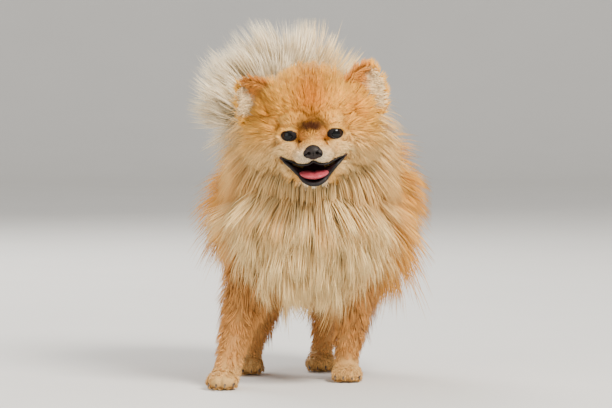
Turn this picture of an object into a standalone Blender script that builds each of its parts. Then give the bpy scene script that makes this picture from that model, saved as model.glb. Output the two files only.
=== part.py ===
"""A standing pomeranian at life size, as a still model.

The dog faces -Y with +Z up, and its left side is +X. Lengths are in metres. Each named part of the body is
one closed solid, and a part that touches another keeps a small gap to it.
"""

import math
import random

import bmesh
import bpy
from mathutils import Euler, Matrix, Vector

MM = 0.001
CUT_ROOM = 0.00045

# Driving dimensions: where the parts of this animal are, and how large.
HEAD_CENTRE = Vector((0.0, -0.117, 0.247))
HEAD_ROLL = math.radians(-3)
EYE_APART = 0.0397
EYE_RADIUS = 0.0083
EYE_PLACE = Vector((0.0, -0.0228, -0.0146))
NOSE_PLACE = Vector((0.0, -0.0575, -0.0293))
NOSE_RADII = (0.0082, 0.0062, 0.0068)
EAR_HEIGHT = 0.036
EAR_HALF_WIDTH = 0.0165
EAR_WALL = 0.0026
SOLE_LEVEL = 0.0
HALF_SPACE = 1.0
TO_MIDDLE = Vector((0.000, 0.011, 0.0))

# Coat colours.
ORANGE = (0.62, 0.33, 0.12)
CREAM = (0.80, 0.66, 0.48)
PALE = (0.86, 0.78, 0.66)
BLACK = (0.015, 0.012, 0.012)
TONGUE_PINK = (0.70, 0.22, 0.22)


def clear_scene():
    for obj in list(bpy.data.objects):
        bpy.data.objects.remove(obj, do_unlink=True)


def material(name, colour, roughness):
    made = bpy.data.materials.new(name)
    made.use_nodes = True
    shader = made.node_tree.nodes["Principled BSDF"]
    shader.inputs["Base Color"].default_value = (*colour, 1.0)
    shader.inputs["Roughness"].default_value = roughness
    shader.inputs["Metallic"].default_value = 0.0
    made.diffuse_color = (*colour, 1.0)
    return made


def mesh_object(name, bm):
    bmesh.ops.recalc_face_normals(bm, faces=bm.faces)
    bmesh.ops.triangulate(bm, faces=bm.faces, quad_method="FIXED")
    mesh = bpy.data.meshes.new(name)
    bm.to_mesh(mesh)
    bm.free()
    obj = bpy.data.objects.new(name, mesh)
    bpy.context.scene.collection.objects.link(obj)
    return obj


def settle(obj):
    """Replaces the object's mesh by what its modifiers make of it."""
    graph = bpy.context.evaluated_depsgraph_get()
    mesh = bpy.data.meshes.new_from_object(obj.evaluated_get(graph))
    obj.modifiers.clear()
    obj.data = mesh
    return obj


def drop(objects):
    for obj in objects:
        bpy.data.objects.remove(obj, do_unlink=True)


def largest_only(obj):
    """Keeps the largest closed surface of the mesh."""
    bm = bmesh.new()
    bm.from_mesh(obj.data)
    left = set(bm.faces)
    groups = []
    while left:
        seed = left.pop()
        group, edge_of = [seed], [seed]
        while edge_of:
            face = edge_of.pop()
            for edge in face.edges:
                for other in edge.link_faces:
                    if other in left:
                        left.remove(other)
                        group.append(other)
                        edge_of.append(other)
        groups.append(group)
    groups.sort(key=lambda group: sum(face.calc_area() for face in group))
    spare = [face for group in groups[:-1] for face in group]
    bmesh.ops.delete(bm, geom=spare, context="FACES")
    loose = [vert for vert in bm.verts if not vert.link_faces]
    bmesh.ops.delete(bm, geom=loose, context="VERTS")
    bm.to_mesh(obj.data)
    bm.free()
    return obj


def boolean(obj, others, operation):
    """Joins the other closed meshes to obj, or cuts them from it, and removes them."""
    group = bpy.data.collections.new("others")
    for other in others:
        for owner in list(other.users_collection):
            owner.objects.unlink(other)
        group.objects.link(other)
    modifier = obj.modifiers.new(operation, "BOOLEAN")
    modifier.operation = operation
    modifier.operand_type = "COLLECTION"
    modifier.collection = group
    modifier.solver = "MANIFOLD"
    bpy.context.scene.collection.children.link(group)
    settle(obj)
    drop(others)
    bpy.data.collections.remove(group)
    return obj


def grown(obj, out=CUT_ROOM):
    """A copy of a simple closed mesh with its surface moved out, to cut its neighbours clear of it."""
    bm = bmesh.new()
    bm.from_mesh(obj.data)
    bm.normal_update()
    moved = [vert.co + vert.normal * out * vert.calc_shell_factor() for vert in bm.verts]
    for vert, place in zip(bm.verts, moved):
        vert.co = place
    mesh = bpy.data.meshes.new("grown")
    bm.to_mesh(mesh)
    bm.free()
    copy = bpy.data.objects.new("grown", mesh)
    bpy.context.scene.collection.objects.link(copy)
    return copy


def box_of(obj):
    corners = [vert.co for vert in obj.data.vertices]
    low = Vector(min(place[i] for place in corners) for i in range(3))
    high = Vector(max(place[i] for place in corners) for i in range(3))
    return low, high


def near(obj, others):
    """Those of the other objects whose box meets this one's."""
    low, high = box_of(obj)
    found = []
    for other in others:
        other_low, other_high = box_of(other)
        if all(other_low[i] < high[i] and low[i] < other_high[i] for i in range(3)):
            found.append(other)
    return found


def smooth_step(rows, u):
    """The row at u from 0 to 1 on a smooth curve through the given rows of numbers."""
    at = u * (len(rows) - 1)
    i = min(int(at), len(rows) - 2)
    t = at - i
    before, start = rows[max(i - 1, 0)], rows[i]
    end, after = rows[i + 1], rows[min(i + 2, len(rows) - 1)]
    found = []
    for a, b, c, d in zip(before, start, end, after):
        slope_b, slope_c = (c - a) / 2, (d - b) / 2
        found.append(
            b
            + slope_b * t
            + (3 * (c - b) - 2 * slope_b - slope_c) * t**2
            + (2 * (b - c) + slope_b + slope_c) * t**3
        )
    return found


class Form:
    """A rounded length of body. Each row gives a centre, half a width and half a height, in metres.

    cap says how blunt the two ends are, and square how far the section leaves an ellipse for a box.
    """

    def __init__(self, rows, up, cap=3.0, square=2.0):
        self.rows, self.up, self.cap, self.square = rows, Vector(up), cap, square

    def section(self, u):
        x, y, z, wide, high = smooth_step(self.rows, u)
        ahead = Vector(smooth_step(self.rows, min(u + 0.02, 1.0))[:3])
        behind = Vector(smooth_step(self.rows, max(u - 0.02, 0.0))[:3])
        along = (ahead - behind).normalized()
        side = along.cross(self.up).normalized()
        closing = max(1 - abs(2 * u - 1) ** self.cap, 0.0) ** (1 / self.cap)
        return Vector((x, y, z)), side, side.cross(along), wide * closing, high * closing

    def point(self, u, turn):
        """The surface at u along the form and turn degrees round it, from its side through its top."""
        centre, side, over, wide, high = self.section(u)
        cosine, sine = math.cos(math.radians(turn)), math.sin(math.radians(turn))
        reach = (abs(cosine) ** self.square + abs(sine) ** self.square) ** (-1 / self.square)
        return centre + side * (wide * cosine * reach) + over * (high * sine * reach)

    def normal(self, u, turn):
        step = 0.02
        low, high = max(u - step, 0.01), min(u + step, 0.99)
        along = self.point(high, turn) - self.point(low, turn)
        round_it = self.point(u, turn + 4) - self.point(u, turn - 4)
        return along.cross(round_it).normalized()

    def build(self, name, rings, sides):
        bm = bmesh.new()
        loops = []
        for ring in range(1, rings):
            u = (1 - math.cos(math.pi * ring / rings)) / 2
            loops.append([bm.verts.new(self.point(u, 360 * k / sides)) for k in range(sides)])
        for low_loop, high_loop in zip(loops, loops[1:]):
            for k in range(sides):
                after = (k + 1) % sides
                bm.faces.new((low_loop[k], low_loop[after], high_loop[after], high_loop[k]))
        for u, loop in ((0.0, loops[0]), (1.0, loops[-1])):
            pole = bm.verts.new(self.section(u)[0])
            for k in range(sides):
                bm.faces.new((pole, loop[k], loop[(k + 1) % sides]))
        return mesh_object(name, bm)


def lock(root, sunk, along, out, length, width, thick, droop):
    """A flat, tapered lock that leaves the surface at root, lies along, lifts out and bends as it goes.

    along and out are unit vectors. sunk is how deep its root sits, and droop how far its tip falls back.
    """
    across = along.cross(out).normalized()
    start = root - out * sunk - along * sunk * 0.6
    bend = root + along * length * 0.45 + out * length * 0.30
    tip = root + along * length * 0.92 + out * length * (0.42 - droop)
    shares = ((0.0, 0.85, 0.9), (0.36, 1.0, 1.0), (0.72, 0.62, 0.75))
    bm = bmesh.new()
    rings = []
    for t, wide, high in shares:
        place = start * (1 - t) ** 2 + bend * 2 * t * (1 - t) + tip * t**2
        going = ((bend - start) * (1 - t) + (tip - bend) * t).normalized()
        over = across.cross(going).normalized()
        half, ridge = width * wide / 2, thick * high
        rings.append(
            [
                bm.verts.new(place - across * half - over * ridge * 0.3),
                bm.verts.new(place + across * half - over * ridge * 0.3),
                bm.verts.new(place + over * ridge * 0.7),
            ]
        )
    end = bm.verts.new(tip)
    for low_ring, high_ring in zip(rings, rings[1:]):
        for k in range(3):
            after = (k + 1) % 3
            bm.faces.new((low_ring[k], low_ring[after], high_ring[after], high_ring[k]))
    for k in range(3):
        bm.faces.new((rings[-1][k], rings[-1][(k + 1) % 3], end))
    bm.faces.new(reversed(rings[0]))
    return mesh_object("lock", bm)


def lying(flow, out):
    """The flow of the hair laid flat on the surface whose normal is out."""
    return (flow - out * flow.dot(out)).normalized()


def coat_locks(form, rows, flow_at, length, width, thick, sunk, droop, seed):
    """Locks over a form: each row says where along it they root, how many there are and where they start.

    A row is u, the count, the first and last turn in degrees, and a share of the length.
    """
    draw = random.Random(seed)
    found = []
    for u, count, first, last, share in rows:
        for k in range(count):
            turn = first + (last - first) * (k + 0.5 + draw.uniform(-0.12, 0.12)) / count
            at = min(max(u + draw.uniform(-0.02, 0.02), 0.03), 0.97)
            root, out = form.point(at, turn), form.normal(at, turn)
            along = lying(flow_at(root), out)
            size = length * share * draw.uniform(0.88, 1.12)
            wide = width * draw.uniform(0.88, 1.12)
            found.append(lock(root, sunk, along, out, size, wide, thick, droop * draw.uniform(0.6, 1.4)))
    return found


def ball(centre, radii, tilt=(0, 0, 0), sides=16):
    """An ellipsoid: its centre, its half sizes and its tilt in degrees."""
    bm = bmesh.new()
    bmesh.ops.create_uvsphere(bm, u_segments=sides, v_segments=sides // 2 + 2, radius=1)
    place = (
        Matrix.Translation(centre)
        @ Euler([math.radians(a) for a in tilt]).to_matrix().to_4x4()
        @ Matrix.Diagonal((*radii, 1))
    )
    bmesh.ops.transform(bm, matrix=place, verts=bm.verts)
    return mesh_object("ball", bm)


def blended(name, pieces, grain, rounds, triangles):
    """Melts overlapping closed pieces into one smooth skin of about so many triangles."""
    bm = bmesh.new()
    for piece in pieces:
        bm.from_mesh(piece.data)
    drop(pieces)
    obj = mesh_object(name, bm)
    melt = obj.modifiers.new("melt", "REMESH")
    melt.mode = "VOXEL"
    melt.voxel_size = grain
    soften = obj.modifiers.new("soften", "SMOOTH")
    soften.factor = 0.5
    soften.iterations = rounds
    settle(obj)
    thin = obj.modifiers.new("thin", "DECIMATE")
    thin.ratio = triangles / (2 * len(obj.data.polygons))
    settle(obj)
    return obj


def head_place():
    return Matrix.Translation(HEAD_CENTRE) @ Matrix.Rotation(HEAD_ROLL, 4, "Y")


def in_head(obj):
    obj.data.transform(head_place())
    return obj


def mirrored_balls(rows):
    """Ellipsoids given in millimetres from the head's centre, those off the middle on both sides."""
    found = []
    for x, y, z, wide, deep, high, *tilt in rows:
        turn = tilt or (0, 0, 0)
        radii = Vector((wide, deep, high)) * MM
        found.append(ball(Vector((x, y, z)) * MM, radii, turn))
        if x:
            other = (turn[0], -turn[1], -turn[2])
            found.append(ball(Vector((-x, y, z)) * MM, radii, other))
    return found


def head_flesh():
    """The skull with its brows, cheeks and upper muzzle, with the short coat of the face on them."""
    rows = [
        (0, 5, 7, 47, 45, 42),
        (24, -3, 14, 23, 26, 23),
        (33, -1, -17, 24, 27, 25),
        (14, -24, -2, 14, 11, 9, 0, 0, 12),
        (0, -32, -18, 10, 14, 10),
        (0, -39, -28, 15, 21, 11.5),
        (9, -45, -33.5, 10, 13, 8.5),
        (22, -25, -30, 14, 14, 11),
        (0, -4, -38, 33, 24, 19),
        (EYE_APART / MM / 2, EYE_PLACE.y / MM, EYE_PLACE.z / MM, 10.8, 10.8, 10.4),
    ]
    return blended("head", mirrored_balls(rows), grain=0.002, rounds=5, triangles=2100)


def jaw_flesh():
    """The chin and the lower lips, dropped open."""
    rows = [
        (0, -37, -53, 12.5, 14, 8),
        (0, -22, -48, 21, 20, 12),
        (19, -25, -42.5, 10, 13, 8, 0, -20, 0),
    ]
    return blended("jaw", mirrored_balls(rows), grain=0.002, rounds=4, triangles=560)


def mouth_opening():
    """The open mouth, seen from the front as a broad smile: upper lip edge, then lower lip edge."""
    upper = [(0, -38.5), (5, -41.5), (10, -43), (17, -41), (24, -37.5), (28.7, -34.4)]
    lower = [(26, -38), (21, -43), (16, -48.5), (11, -53.5), (6, -56.3), (0, -57)]
    half = upper + lower
    outline = half + [(-x, z) for x, z in reversed(half) if x]
    bm = bmesh.new()
    loops = []
    for y, share in ((-75, 1.03), (-48, 1.0), (-30, 0.92), (-21, 0.72)):
        middle = -42.0
        loops.append(
            [
                bm.verts.new(Vector((x * share, y, middle + (z - middle) * share)) * MM)
                for x, z in outline
            ]
        )
    count = len(outline)
    for near, far in zip(loops, loops[1:]):
        for k in range(count):
            after = (k + 1) % count
            bm.faces.new((near[k], near[after], far[after], far[k]))
    bm.faces.new(loops[0])
    bm.faces.new(reversed(loops[-1]))
    return mesh_object("mouth", bm)


def tongue_form():
    rows = [
        (0, -0.024, -0.0475, 0.0105, 0.0030),
        (0, -0.036, -0.0485, 0.0120, 0.0028),
        (0, -0.046, -0.0500, 0.0130, 0.0026),
        (0, -0.0535, -0.0530, 0.0125, 0.0022),
    ]
    return Form(rows, (0, 0, 1), cap=6.0, square=2.4)


def eye_centre(side):
    return EYE_PLACE + Vector((side * EYE_APART / 2, 0, 0))


def lid_ring(side):
    """The rim of the two lids: an almond drawn on the eyeball, with a round edge."""
    around, across = 14, 4
    half_wide, half_high, edge = 0.0078, 0.0052, 0.0013
    centre, shell = eye_centre(side), EYE_RADIUS + 0.0006
    turn_out = Matrix.Rotation(math.radians(side * 9), 3, "Z")
    bm = bmesh.new()
    loops = []
    line = []
    for k in range(around):
        angle = 2 * math.pi * k / around
        x = half_wide * math.cos(angle)
        z = half_high * math.sin(angle) * abs(math.sin(angle)) ** 0.3 + side * x * 0.10
        line.append(turn_out @ Vector((x, -math.sqrt(shell**2 - x * x - z * z), z)))
    for k, place in enumerate(line):
        along = (line[(k + 1) % around] - line[k - 1]).normalized()
        outward = place.normalized()
        across_it = along.cross(outward).normalized()
        loops.append(
            [
                bm.verts.new(
                    centre
                    + place
                    + edge * math.cos(2 * math.pi * j / across) * outward
                    + edge * math.sin(2 * math.pi * j / across) * across_it
                )
                for j in range(across)
            ]
        )
    for k in range(around):
        near, far = loops[k], loops[(k + 1) % around]
        for j in range(across):
            after = (j + 1) % across
            bm.faces.new((near[j], near[after], far[after], far[j]))
    return mesh_object("lids", bm)


def eye_slit(side):
    """What the lids leave open: an almond prism in front of the eyeball."""
    around, half_wide, half_high = 14, 0.0078, 0.0050
    turn_out = Matrix.Rotation(math.radians(side * 9), 3, "Z")
    bm = bmesh.new()
    loops = []
    for y in (-0.004, -0.016):
        loop = []
        for k in range(around):
            angle = 2 * math.pi * k / around
            x = half_wide * math.cos(angle)
            z = half_high * math.sin(angle) * abs(math.sin(angle)) ** 0.3 + side * x * 0.10
            loop.append(bm.verts.new(eye_centre(side) + turn_out @ Vector((x, y, z))))
        loops.append(loop)
    for k in range(around):
        after = (k + 1) % around
        bm.faces.new((loops[0][k], loops[0][after], loops[1][after], loops[1][k]))
    bm.faces.new(loops[0])
    bm.faces.new(reversed(loops[1]))
    return mesh_object("slit", bm)


def eyeball(side):
    return ball(eye_centre(side), [EYE_RADIUS] * 3, (90, 0, 0), sides=10)


def nose_leather():
    return ball(NOSE_PLACE, NOSE_RADII, sides=14)


def nostrils():
    found = []
    for side in (-1, 1):
        hole = NOSE_PLACE + Vector((side * 0.0036, -0.0058, -0.0006))
        slit = NOSE_PLACE + Vector((side * 0.0066, -0.0040, -0.0018))
        found.append(ball(hole, (0.0017, 0.0026, 0.0015), sides=6))
        found.append(ball(slit, (0.0024, 0.0022, 0.0007), (0, side * 25, 0), sides=6))
    return found


def ear_solid(name, place, tilt):
    """A cupped ear: a rounded triangle bent round its own axis, thin at the rim."""
    across, upward = 8, 6
    bm = bmesh.new()
    faces = []
    for face_side in (1, -1):
        grid = []
        for j in range(upward + 1):
            v = j / upward
            half = EAR_HALF_WIDTH * (1 - v**1.8) ** 0.75 + 0.0015
            row = []
            for i in range(across + 1):
                s = 2 * i / across - 1
                cup = 0.011 * (1 - 0.55 * v) * (s * s - 0.5)
                wall = EAR_WALL / 2 * (1.25 - 0.5 * v - 0.25 * s * s)
                row.append(
                    bm.verts.new((half * s, -cup - face_side * wall, EAR_HEIGHT * v))
                )
            grid.append(row)
        faces.append(grid)
    front, back = faces
    for j in range(upward):
        for i in range(across):
            bm.faces.new((front[j][i], front[j][i + 1], front[j + 1][i + 1], front[j + 1][i]))
            bm.faces.new((back[j][i], back[j + 1][i], back[j + 1][i + 1], back[j][i + 1]))
        for i, order in ((0, 1), (across, -1)):
            rim = [front[j][i], front[j + 1][i], back[j + 1][i], back[j][i]]
            bm.faces.new(rim[::order])
    for i in range(across):
        for j, order in ((0, -1), (upward, 1)):
            rim = [front[j][i], front[j][i + 1], back[j][i + 1], back[j][i]]
            bm.faces.new(rim[::order])
    turn = Euler([math.radians(a) for a in tilt]).to_matrix().to_4x4()
    bmesh.ops.transform(bm, matrix=Matrix.Translation(place) @ turn, verts=bm.verts)
    return mesh_object(name, bm)


# The trunk and its coat, from the chest back to the rump: rows of centre, half width and half height.
TORSO_ROWS = [
    (-0.003, -0.112, 0.160, 0.066, 0.066),
    (-0.001, -0.060, 0.162, 0.074, 0.073),
    (0.002, 0.000, 0.166, 0.076, 0.073),
    (0.006, 0.060, 0.165, 0.074, 0.071),
    (0.010, 0.122, 0.158, 0.064, 0.064),
]
NECK_ROWS = [
    (0.0, -0.116, 0.234, 0.048, 0.044),
    (0.0, -0.088, 0.222, 0.062, 0.056),
    (0.0, -0.058, 0.203, 0.070, 0.062),
    (0.0, -0.020, 0.186, 0.066, 0.056),
]
TAIL_ROWS = [
    (0.011, 0.090, 0.196, 0.018, 0.018),
    (0.008, 0.098, 0.230, 0.021, 0.023),
    (-0.004, 0.082, 0.258, 0.023, 0.027),
    (-0.024, 0.052, 0.271, 0.023, 0.029),
    (-0.044, 0.020, 0.265, 0.022, 0.028),
    (-0.062, -0.004, 0.246, 0.017, 0.022),
]
PLUME_CENTRE = Vector((-0.010, 0.030, 0.225))


def torso_form():
    return Form(TORSO_ROWS, (0, 0, 1), cap=3.4, square=2.4)


def neck_form():
    return Form(NECK_ROWS, (0, 0, 1), cap=4.0, square=2.2)


def tail_form():
    return Form(TAIL_ROWS, (1, 0, 0), cap=3.0, square=2.0)


def torso_flow(place):
    """Hair on the trunk lies back and down."""
    return Vector((0.12 * place.x / 0.08, 0.55, -0.85))


def ruff_flow(place):
    """Hair of the ruff lies away from the face, and falls."""
    away = (place - HEAD_CENTRE).normalized()
    return away + Vector((0, 0.35, -0.75))


def tail_flow(place):
    """Hair of the plume fans out from the middle of the curled tail, away from the back."""
    away = place - PLUME_CENTRE
    return Vector((away.x, away.y * 0.45, away.z)).normalized() + Vector((-0.15, -0.15, 0.1))


def torso_locks():
    rows = [
        (0.05, 6, 155, 385, 0.78),
        (0.22, 6, 178, 362, 0.78),
        (0.42, 5, -20, 200, 1.00),
        (0.42, 4, 205, 335, 0.62),
        (0.62, 5, -10, 190, 1.00),
        (0.62, 4, 200, 340, 0.72),
        (0.80, 3, 130, 225, 1.10),
        (0.80, 3, -45, 50, 1.10),
        (0.80, 2, 235, 305, 0.95),
        (0.79, 2, 60, 120, 0.80),
        (0.93, 3, 135, 228, 1.12),
        (0.93, 3, -48, 45, 1.12),
        (0.93, 2, 238, 302, 1.16),
        (0.90, 2, 62, 118, 0.66),
    ]
    return coat_locks(torso_form(), rows, torso_flow, 0.078, 0.040, 0.0080, 0.010, 0.29, seed=11)


def neck_locks():
    rows = [
        (0.22, 10, -90, 270, 0.80),
        (0.52, 10, -72, 288, 1.00),
        (0.78, 6, -15, 195, 1.00),
    ]
    return coat_locks(neck_form(), rows, ruff_flow, 0.068, 0.038, 0.0070, 0.009, 0.16, seed=23)


def tail_locks():
    rows = [
        (0.26, 3, -100, 100, 0.75),
        (0.40, 4, -120, 120, 0.95),
        (0.53, 5, -120, 120, 1.00),
        (0.67, 5, -120, 120, 1.00),
        (0.80, 5, -125, 125, 1.00),
        (0.92, 5, -150, 150, 0.95),
    ]
    return coat_locks(tail_form(), rows, tail_flow, 0.048, 0.027, 0.0060, 0.008, -0.08, seed=37)


def cheek_locks():
    """Longer hair behind the cheeks, where the face passes into the ruff."""
    draw = random.Random(5)
    found = []
    for side in (-1, 1):
        for k in range(4):
            angle = math.radians(28 - 27 * k)
            spot = Vector((side * 0.047 * math.cos(angle), 0.004, -0.008 + 0.042 * math.sin(angle)))
            out = Vector((side * math.cos(angle), -0.15, math.sin(angle))).normalized()
            flow = Vector((side * 0.5, 0.75, -0.45))
            root = head_place() @ spot
            size = 0.040 * draw.uniform(0.85, 1.15)
            found.append(lock(root, 0.008, lying(flow, out), out, size, 0.026, 0.0055, 0.08))
    return found


# Each leg: rows from its top, inside the trunk, down to the pastern, then where its paw is and points.
LEGS = {
    "leg_front_right": (
        [
            (-0.050, -0.046, 0.130, 0.023, 0.027),
            (-0.058, -0.048, 0.090, 0.022, 0.026),
            (-0.067, -0.060, 0.055, 0.0180, 0.0205),
            (-0.074, -0.074, 0.028, 0.0150, 0.0165),
            (-0.078, -0.084, 0.010, 0.0150, 0.0165),
        ],
        (-0.0800, -0.0950),
        -6,
    ),
    "leg_front_left": (
        [
            (0.044, -0.034, 0.130, 0.023, 0.027),
            (0.040, -0.026, 0.090, 0.022, 0.026),
            (0.037, -0.018, 0.055, 0.0175, 0.0200),
            (0.034, -0.014, 0.028, 0.0145, 0.0160),
            (0.033, -0.012, 0.010, 0.0148, 0.0162),
        ],
        (0.0330, -0.0225),
        2,
    ),
    "leg_hind_right": (
        [
            (-0.030, 0.055, 0.130, 0.026, 0.034),
            (-0.038, 0.055, 0.095, 0.023, 0.029),
            (-0.048, 0.066, 0.060, 0.0165, 0.0200),
            (-0.055, 0.066, 0.032, 0.0125, 0.0145),
            (-0.058, 0.060, 0.010, 0.0130, 0.0150),
        ],
        (-0.0590, 0.0500),
        -4,
    ),
    "leg_hind_left": (
        [
            (0.030, 0.075, 0.130, 0.026, 0.034),
            (0.026, 0.082, 0.095, 0.023, 0.029),
            (0.018, 0.098, 0.060, 0.0165, 0.0200),
            (0.012, 0.100, 0.032, 0.0125, 0.0145),
            (0.010, 0.094, 0.010, 0.0130, 0.0150),
        ],
        (0.0095, 0.0840),
        2,
    ),
}


def paw_pieces(place, heading):
    """The pads and four toes of one paw."""
    turn = Matrix.Rotation(math.radians(heading), 4, "Z")
    at = Matrix.Translation((*place, SOLE_LEVEL)) @ turn
    found = [ball(at @ Vector((0, 0.002, 0.009)), (0.0150, 0.0172, 0.0110), sides=12)]
    for across, ahead in ((-0.0105, -0.0080), (-0.0038, -0.0125), (0.0038, -0.0125), (0.0105, -0.0080)):
        toe = at @ Vector((across, ahead, 0.0070))
        found.append(ball(toe, (0.0044, 0.0082, 0.0078), (0, 0, heading - across * 900), sides=12))
    return found


def claws(place, heading):
    turn = Matrix.Rotation(math.radians(heading), 4, "Z")
    at = Matrix.Translation((*place, SOLE_LEVEL)) @ turn
    found = []
    for across, ahead in ((-0.0115, -0.0150), (-0.0040, -0.0197), (0.0040, -0.0197), (0.0115, -0.0150)):
        bm = bmesh.new()
        bmesh.ops.create_cone(
            bm, cap_ends=True, segments=4, radius1=0.0014, radius2=0.0005, depth=0.0075
        )
        lean = Matrix.Rotation(math.radians(115), 4, "X")
        spot = Matrix.Translation((across, ahead, 0.0050))
        bmesh.ops.transform(bm, matrix=at @ spot @ lean, verts=bm.verts)
        found.append(mesh_object("claw", bm))
    return found


def under_floor():
    bm = bmesh.new()
    bmesh.ops.create_cube(bm, size=0.6)
    bmesh.ops.translate(bm, vec=(0, 0, SOLE_LEVEL - 0.3), verts=bm.verts)
    return mesh_object("floor_cut", bm)


def leg_flesh(name):
    rows, place, heading = LEGS[name]
    tube = Form(rows, (0, -1, 0), cap=8.0).build("tube", rings=14, sides=14)
    obj = blended(name, [tube, *paw_pieces(place, heading)], grain=0.0016, rounds=3, triangles=420)
    return obj


def leg_locks(name):
    """The feathering down the back of a leg."""
    form = Form(LEGS[name][0], (0, -1, 0), cap=8.0)
    high_rows = [(0.40, 2, 225, 315, 1.0), (0.57, 1, 240, 300, 0.8)]
    flow = Vector((0, 0.35, -1))
    return coat_locks(form, high_rows, lambda place: flow, 0.050, 0.022, 0.0055, 0.008, 0.08, seed=51)


def parting(toward):
    """The half of space on one side of the slanting plane where the ruff ends and the trunk begins."""
    normal = Vector((0, 0.75, -0.66)).normalized()
    point = Vector((0, -0.075, 0.185)) + normal * toward * (HALF_SPACE - CUT_ROOM) / 2
    bm = bmesh.new()
    bmesh.ops.create_cube(bm, size=HALF_SPACE)
    turn = Vector((0, 1, 0)).rotation_difference(normal).to_matrix().to_4x4()
    bmesh.ops.transform(bm, matrix=Matrix.Translation(point) @ turn, verts=bm.verts)
    return mesh_object("half", bm)


def dress(objects, look):
    for obj in objects:
        obj.data.materials.clear()
        obj.data.materials.append(look)
        obj.location = TO_MIDDLE


def twin(obj, name):
    copy = obj.copy()
    copy.data = obj.data.copy()
    copy.name = name
    bpy.context.scene.collection.objects.link(copy)
    return copy


def make_face():
    """The head with its jaw, nose, tongue and eyes. It also gives the plain pieces of head and jaw."""
    head, jaw, tongue, nose = head_flesh(), jaw_flesh(), tongue_form().build("tongue", 9, 10), nose_leather()
    eyes = [eyeball(side) for side in (-1, 1)]
    plain = [twin(head, "plain_head"), twin(jaw, "plain_jaw")]
    boolean(jaw, [grown(head), mouth_opening(), grown(tongue)], "DIFFERENCE")
    boolean(head, [lid_ring(side) for side in (-1, 1)], "UNION")
    cutters = [mouth_opening(), *[grown(obj) for obj in (nose, *eyes)]]
    boolean(head, cutters + [eye_slit(side) for side in (-1, 1)], "DIFFERENCE")
    boolean(nose, nostrils(), "DIFFERENCE")
    for obj in (head, jaw, tongue, nose, *eyes, *plain):
        in_head(obj)
    nose.name, eyes[0].name, eyes[1].name = "nose", "eye_right", "eye_left"
    return head, jaw, tongue, nose, eyes, plain


def make_ears(skull):
    ears = [
        ear_solid("ear_right", HEAD_CENTRE + Vector((-0.037, 0.004, 0.010)), (-8, -48, -38)),
        ear_solid("ear_left", HEAD_CENTRE + Vector((0.037, 0.004, 0.018)), (-8, 22, 40)),
    ]
    plain = [twin(ear, "plain_ear") for ear in ears]
    for ear in ears:
        boolean(ear, [grown(skull)], "DIFFERENCE")
        largest_only(ear)
    return ears, plain


def make_legs():
    legs, plain = [], []
    for name, (rows, place, heading) in LEGS.items():
        leg = leg_flesh(name)
        pieces = leg_locks(name)
        plain += [twin(leg, "plain_leg"), *[twin(piece, "plain_lock") for piece in pieces]]
        boolean(leg, pieces + claws(place, heading), "UNION")
        boolean(leg, [under_floor()], "DIFFERENCE")
        legs.append(largest_only(leg))
    return legs, plain


def main():
    clear_scene()
    head, jaw, tongue, nose, eyes, face_plain = make_face()
    ears, ears_plain = make_ears(face_plain[0])
    legs, legs_plain = make_legs()
    cheeks = cheek_locks()
    head_plain = face_plain + ears_plain + cheeks

    trunk, neck = torso_form().build("torso", 14, 22), neck_form().build("neck", 10, 18)
    locks = torso_locks() + neck_locks()
    body_plain = [twin(trunk, "plain"), neck, *locks]

    boolean(head, [twin(cheek, "cheek") for cheek in cheeks], "UNION")
    boolean(head, [grown(ear) for ear in ears_plain], "DIFFERENCE")

    tail, plume = tail_form().build("tail", 12, 12), tail_locks()
    boolean(tail, plume, "UNION")
    others = near(tail, body_plain + head_plain)
    boolean(tail, [grown(other) for other in others], "DIFFERENCE")
    largest_only(tail)

    boolean(trunk, [twin(piece, "piece") for piece in [neck, *locks]], "UNION")
    boolean(trunk, [grown(piece) for piece in near(trunk, head_plain + legs_plain)], "DIFFERENCE")
    ruff = twin(trunk, "neck_part")
    boolean(trunk, [parting(-1)], "DIFFERENCE")
    boolean(ruff, [parting(1)], "DIFFERENCE")
    drop([*body_plain, *head_plain, *legs_plain])
    ruff.name = "neck"
    for obj in (trunk, ruff, head, jaw):
        largest_only(obj)

    dress([trunk, head, jaw, *ears, *legs], material("coat_orange", ORANGE, 0.85))
    dress([ruff], material("coat_cream", CREAM, 0.85))
    dress([tail], material("coat_pale", PALE, 0.85))
    dress([nose, *eyes], material("wet_black", BLACK, 0.2))
    dress([tongue], material("tongue_pink", TONGUE_PINK, 0.35))


main()
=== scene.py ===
"""The looks of a standing pomeranian: skin, coat, face, feet, light and camera around the fixed solids."""

import math
from functools import partial

import bmesh
import bpy
import numpy as np
from mathutils import Euler, Matrix, Vector
from mathutils.kdtree import KDTree


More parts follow.
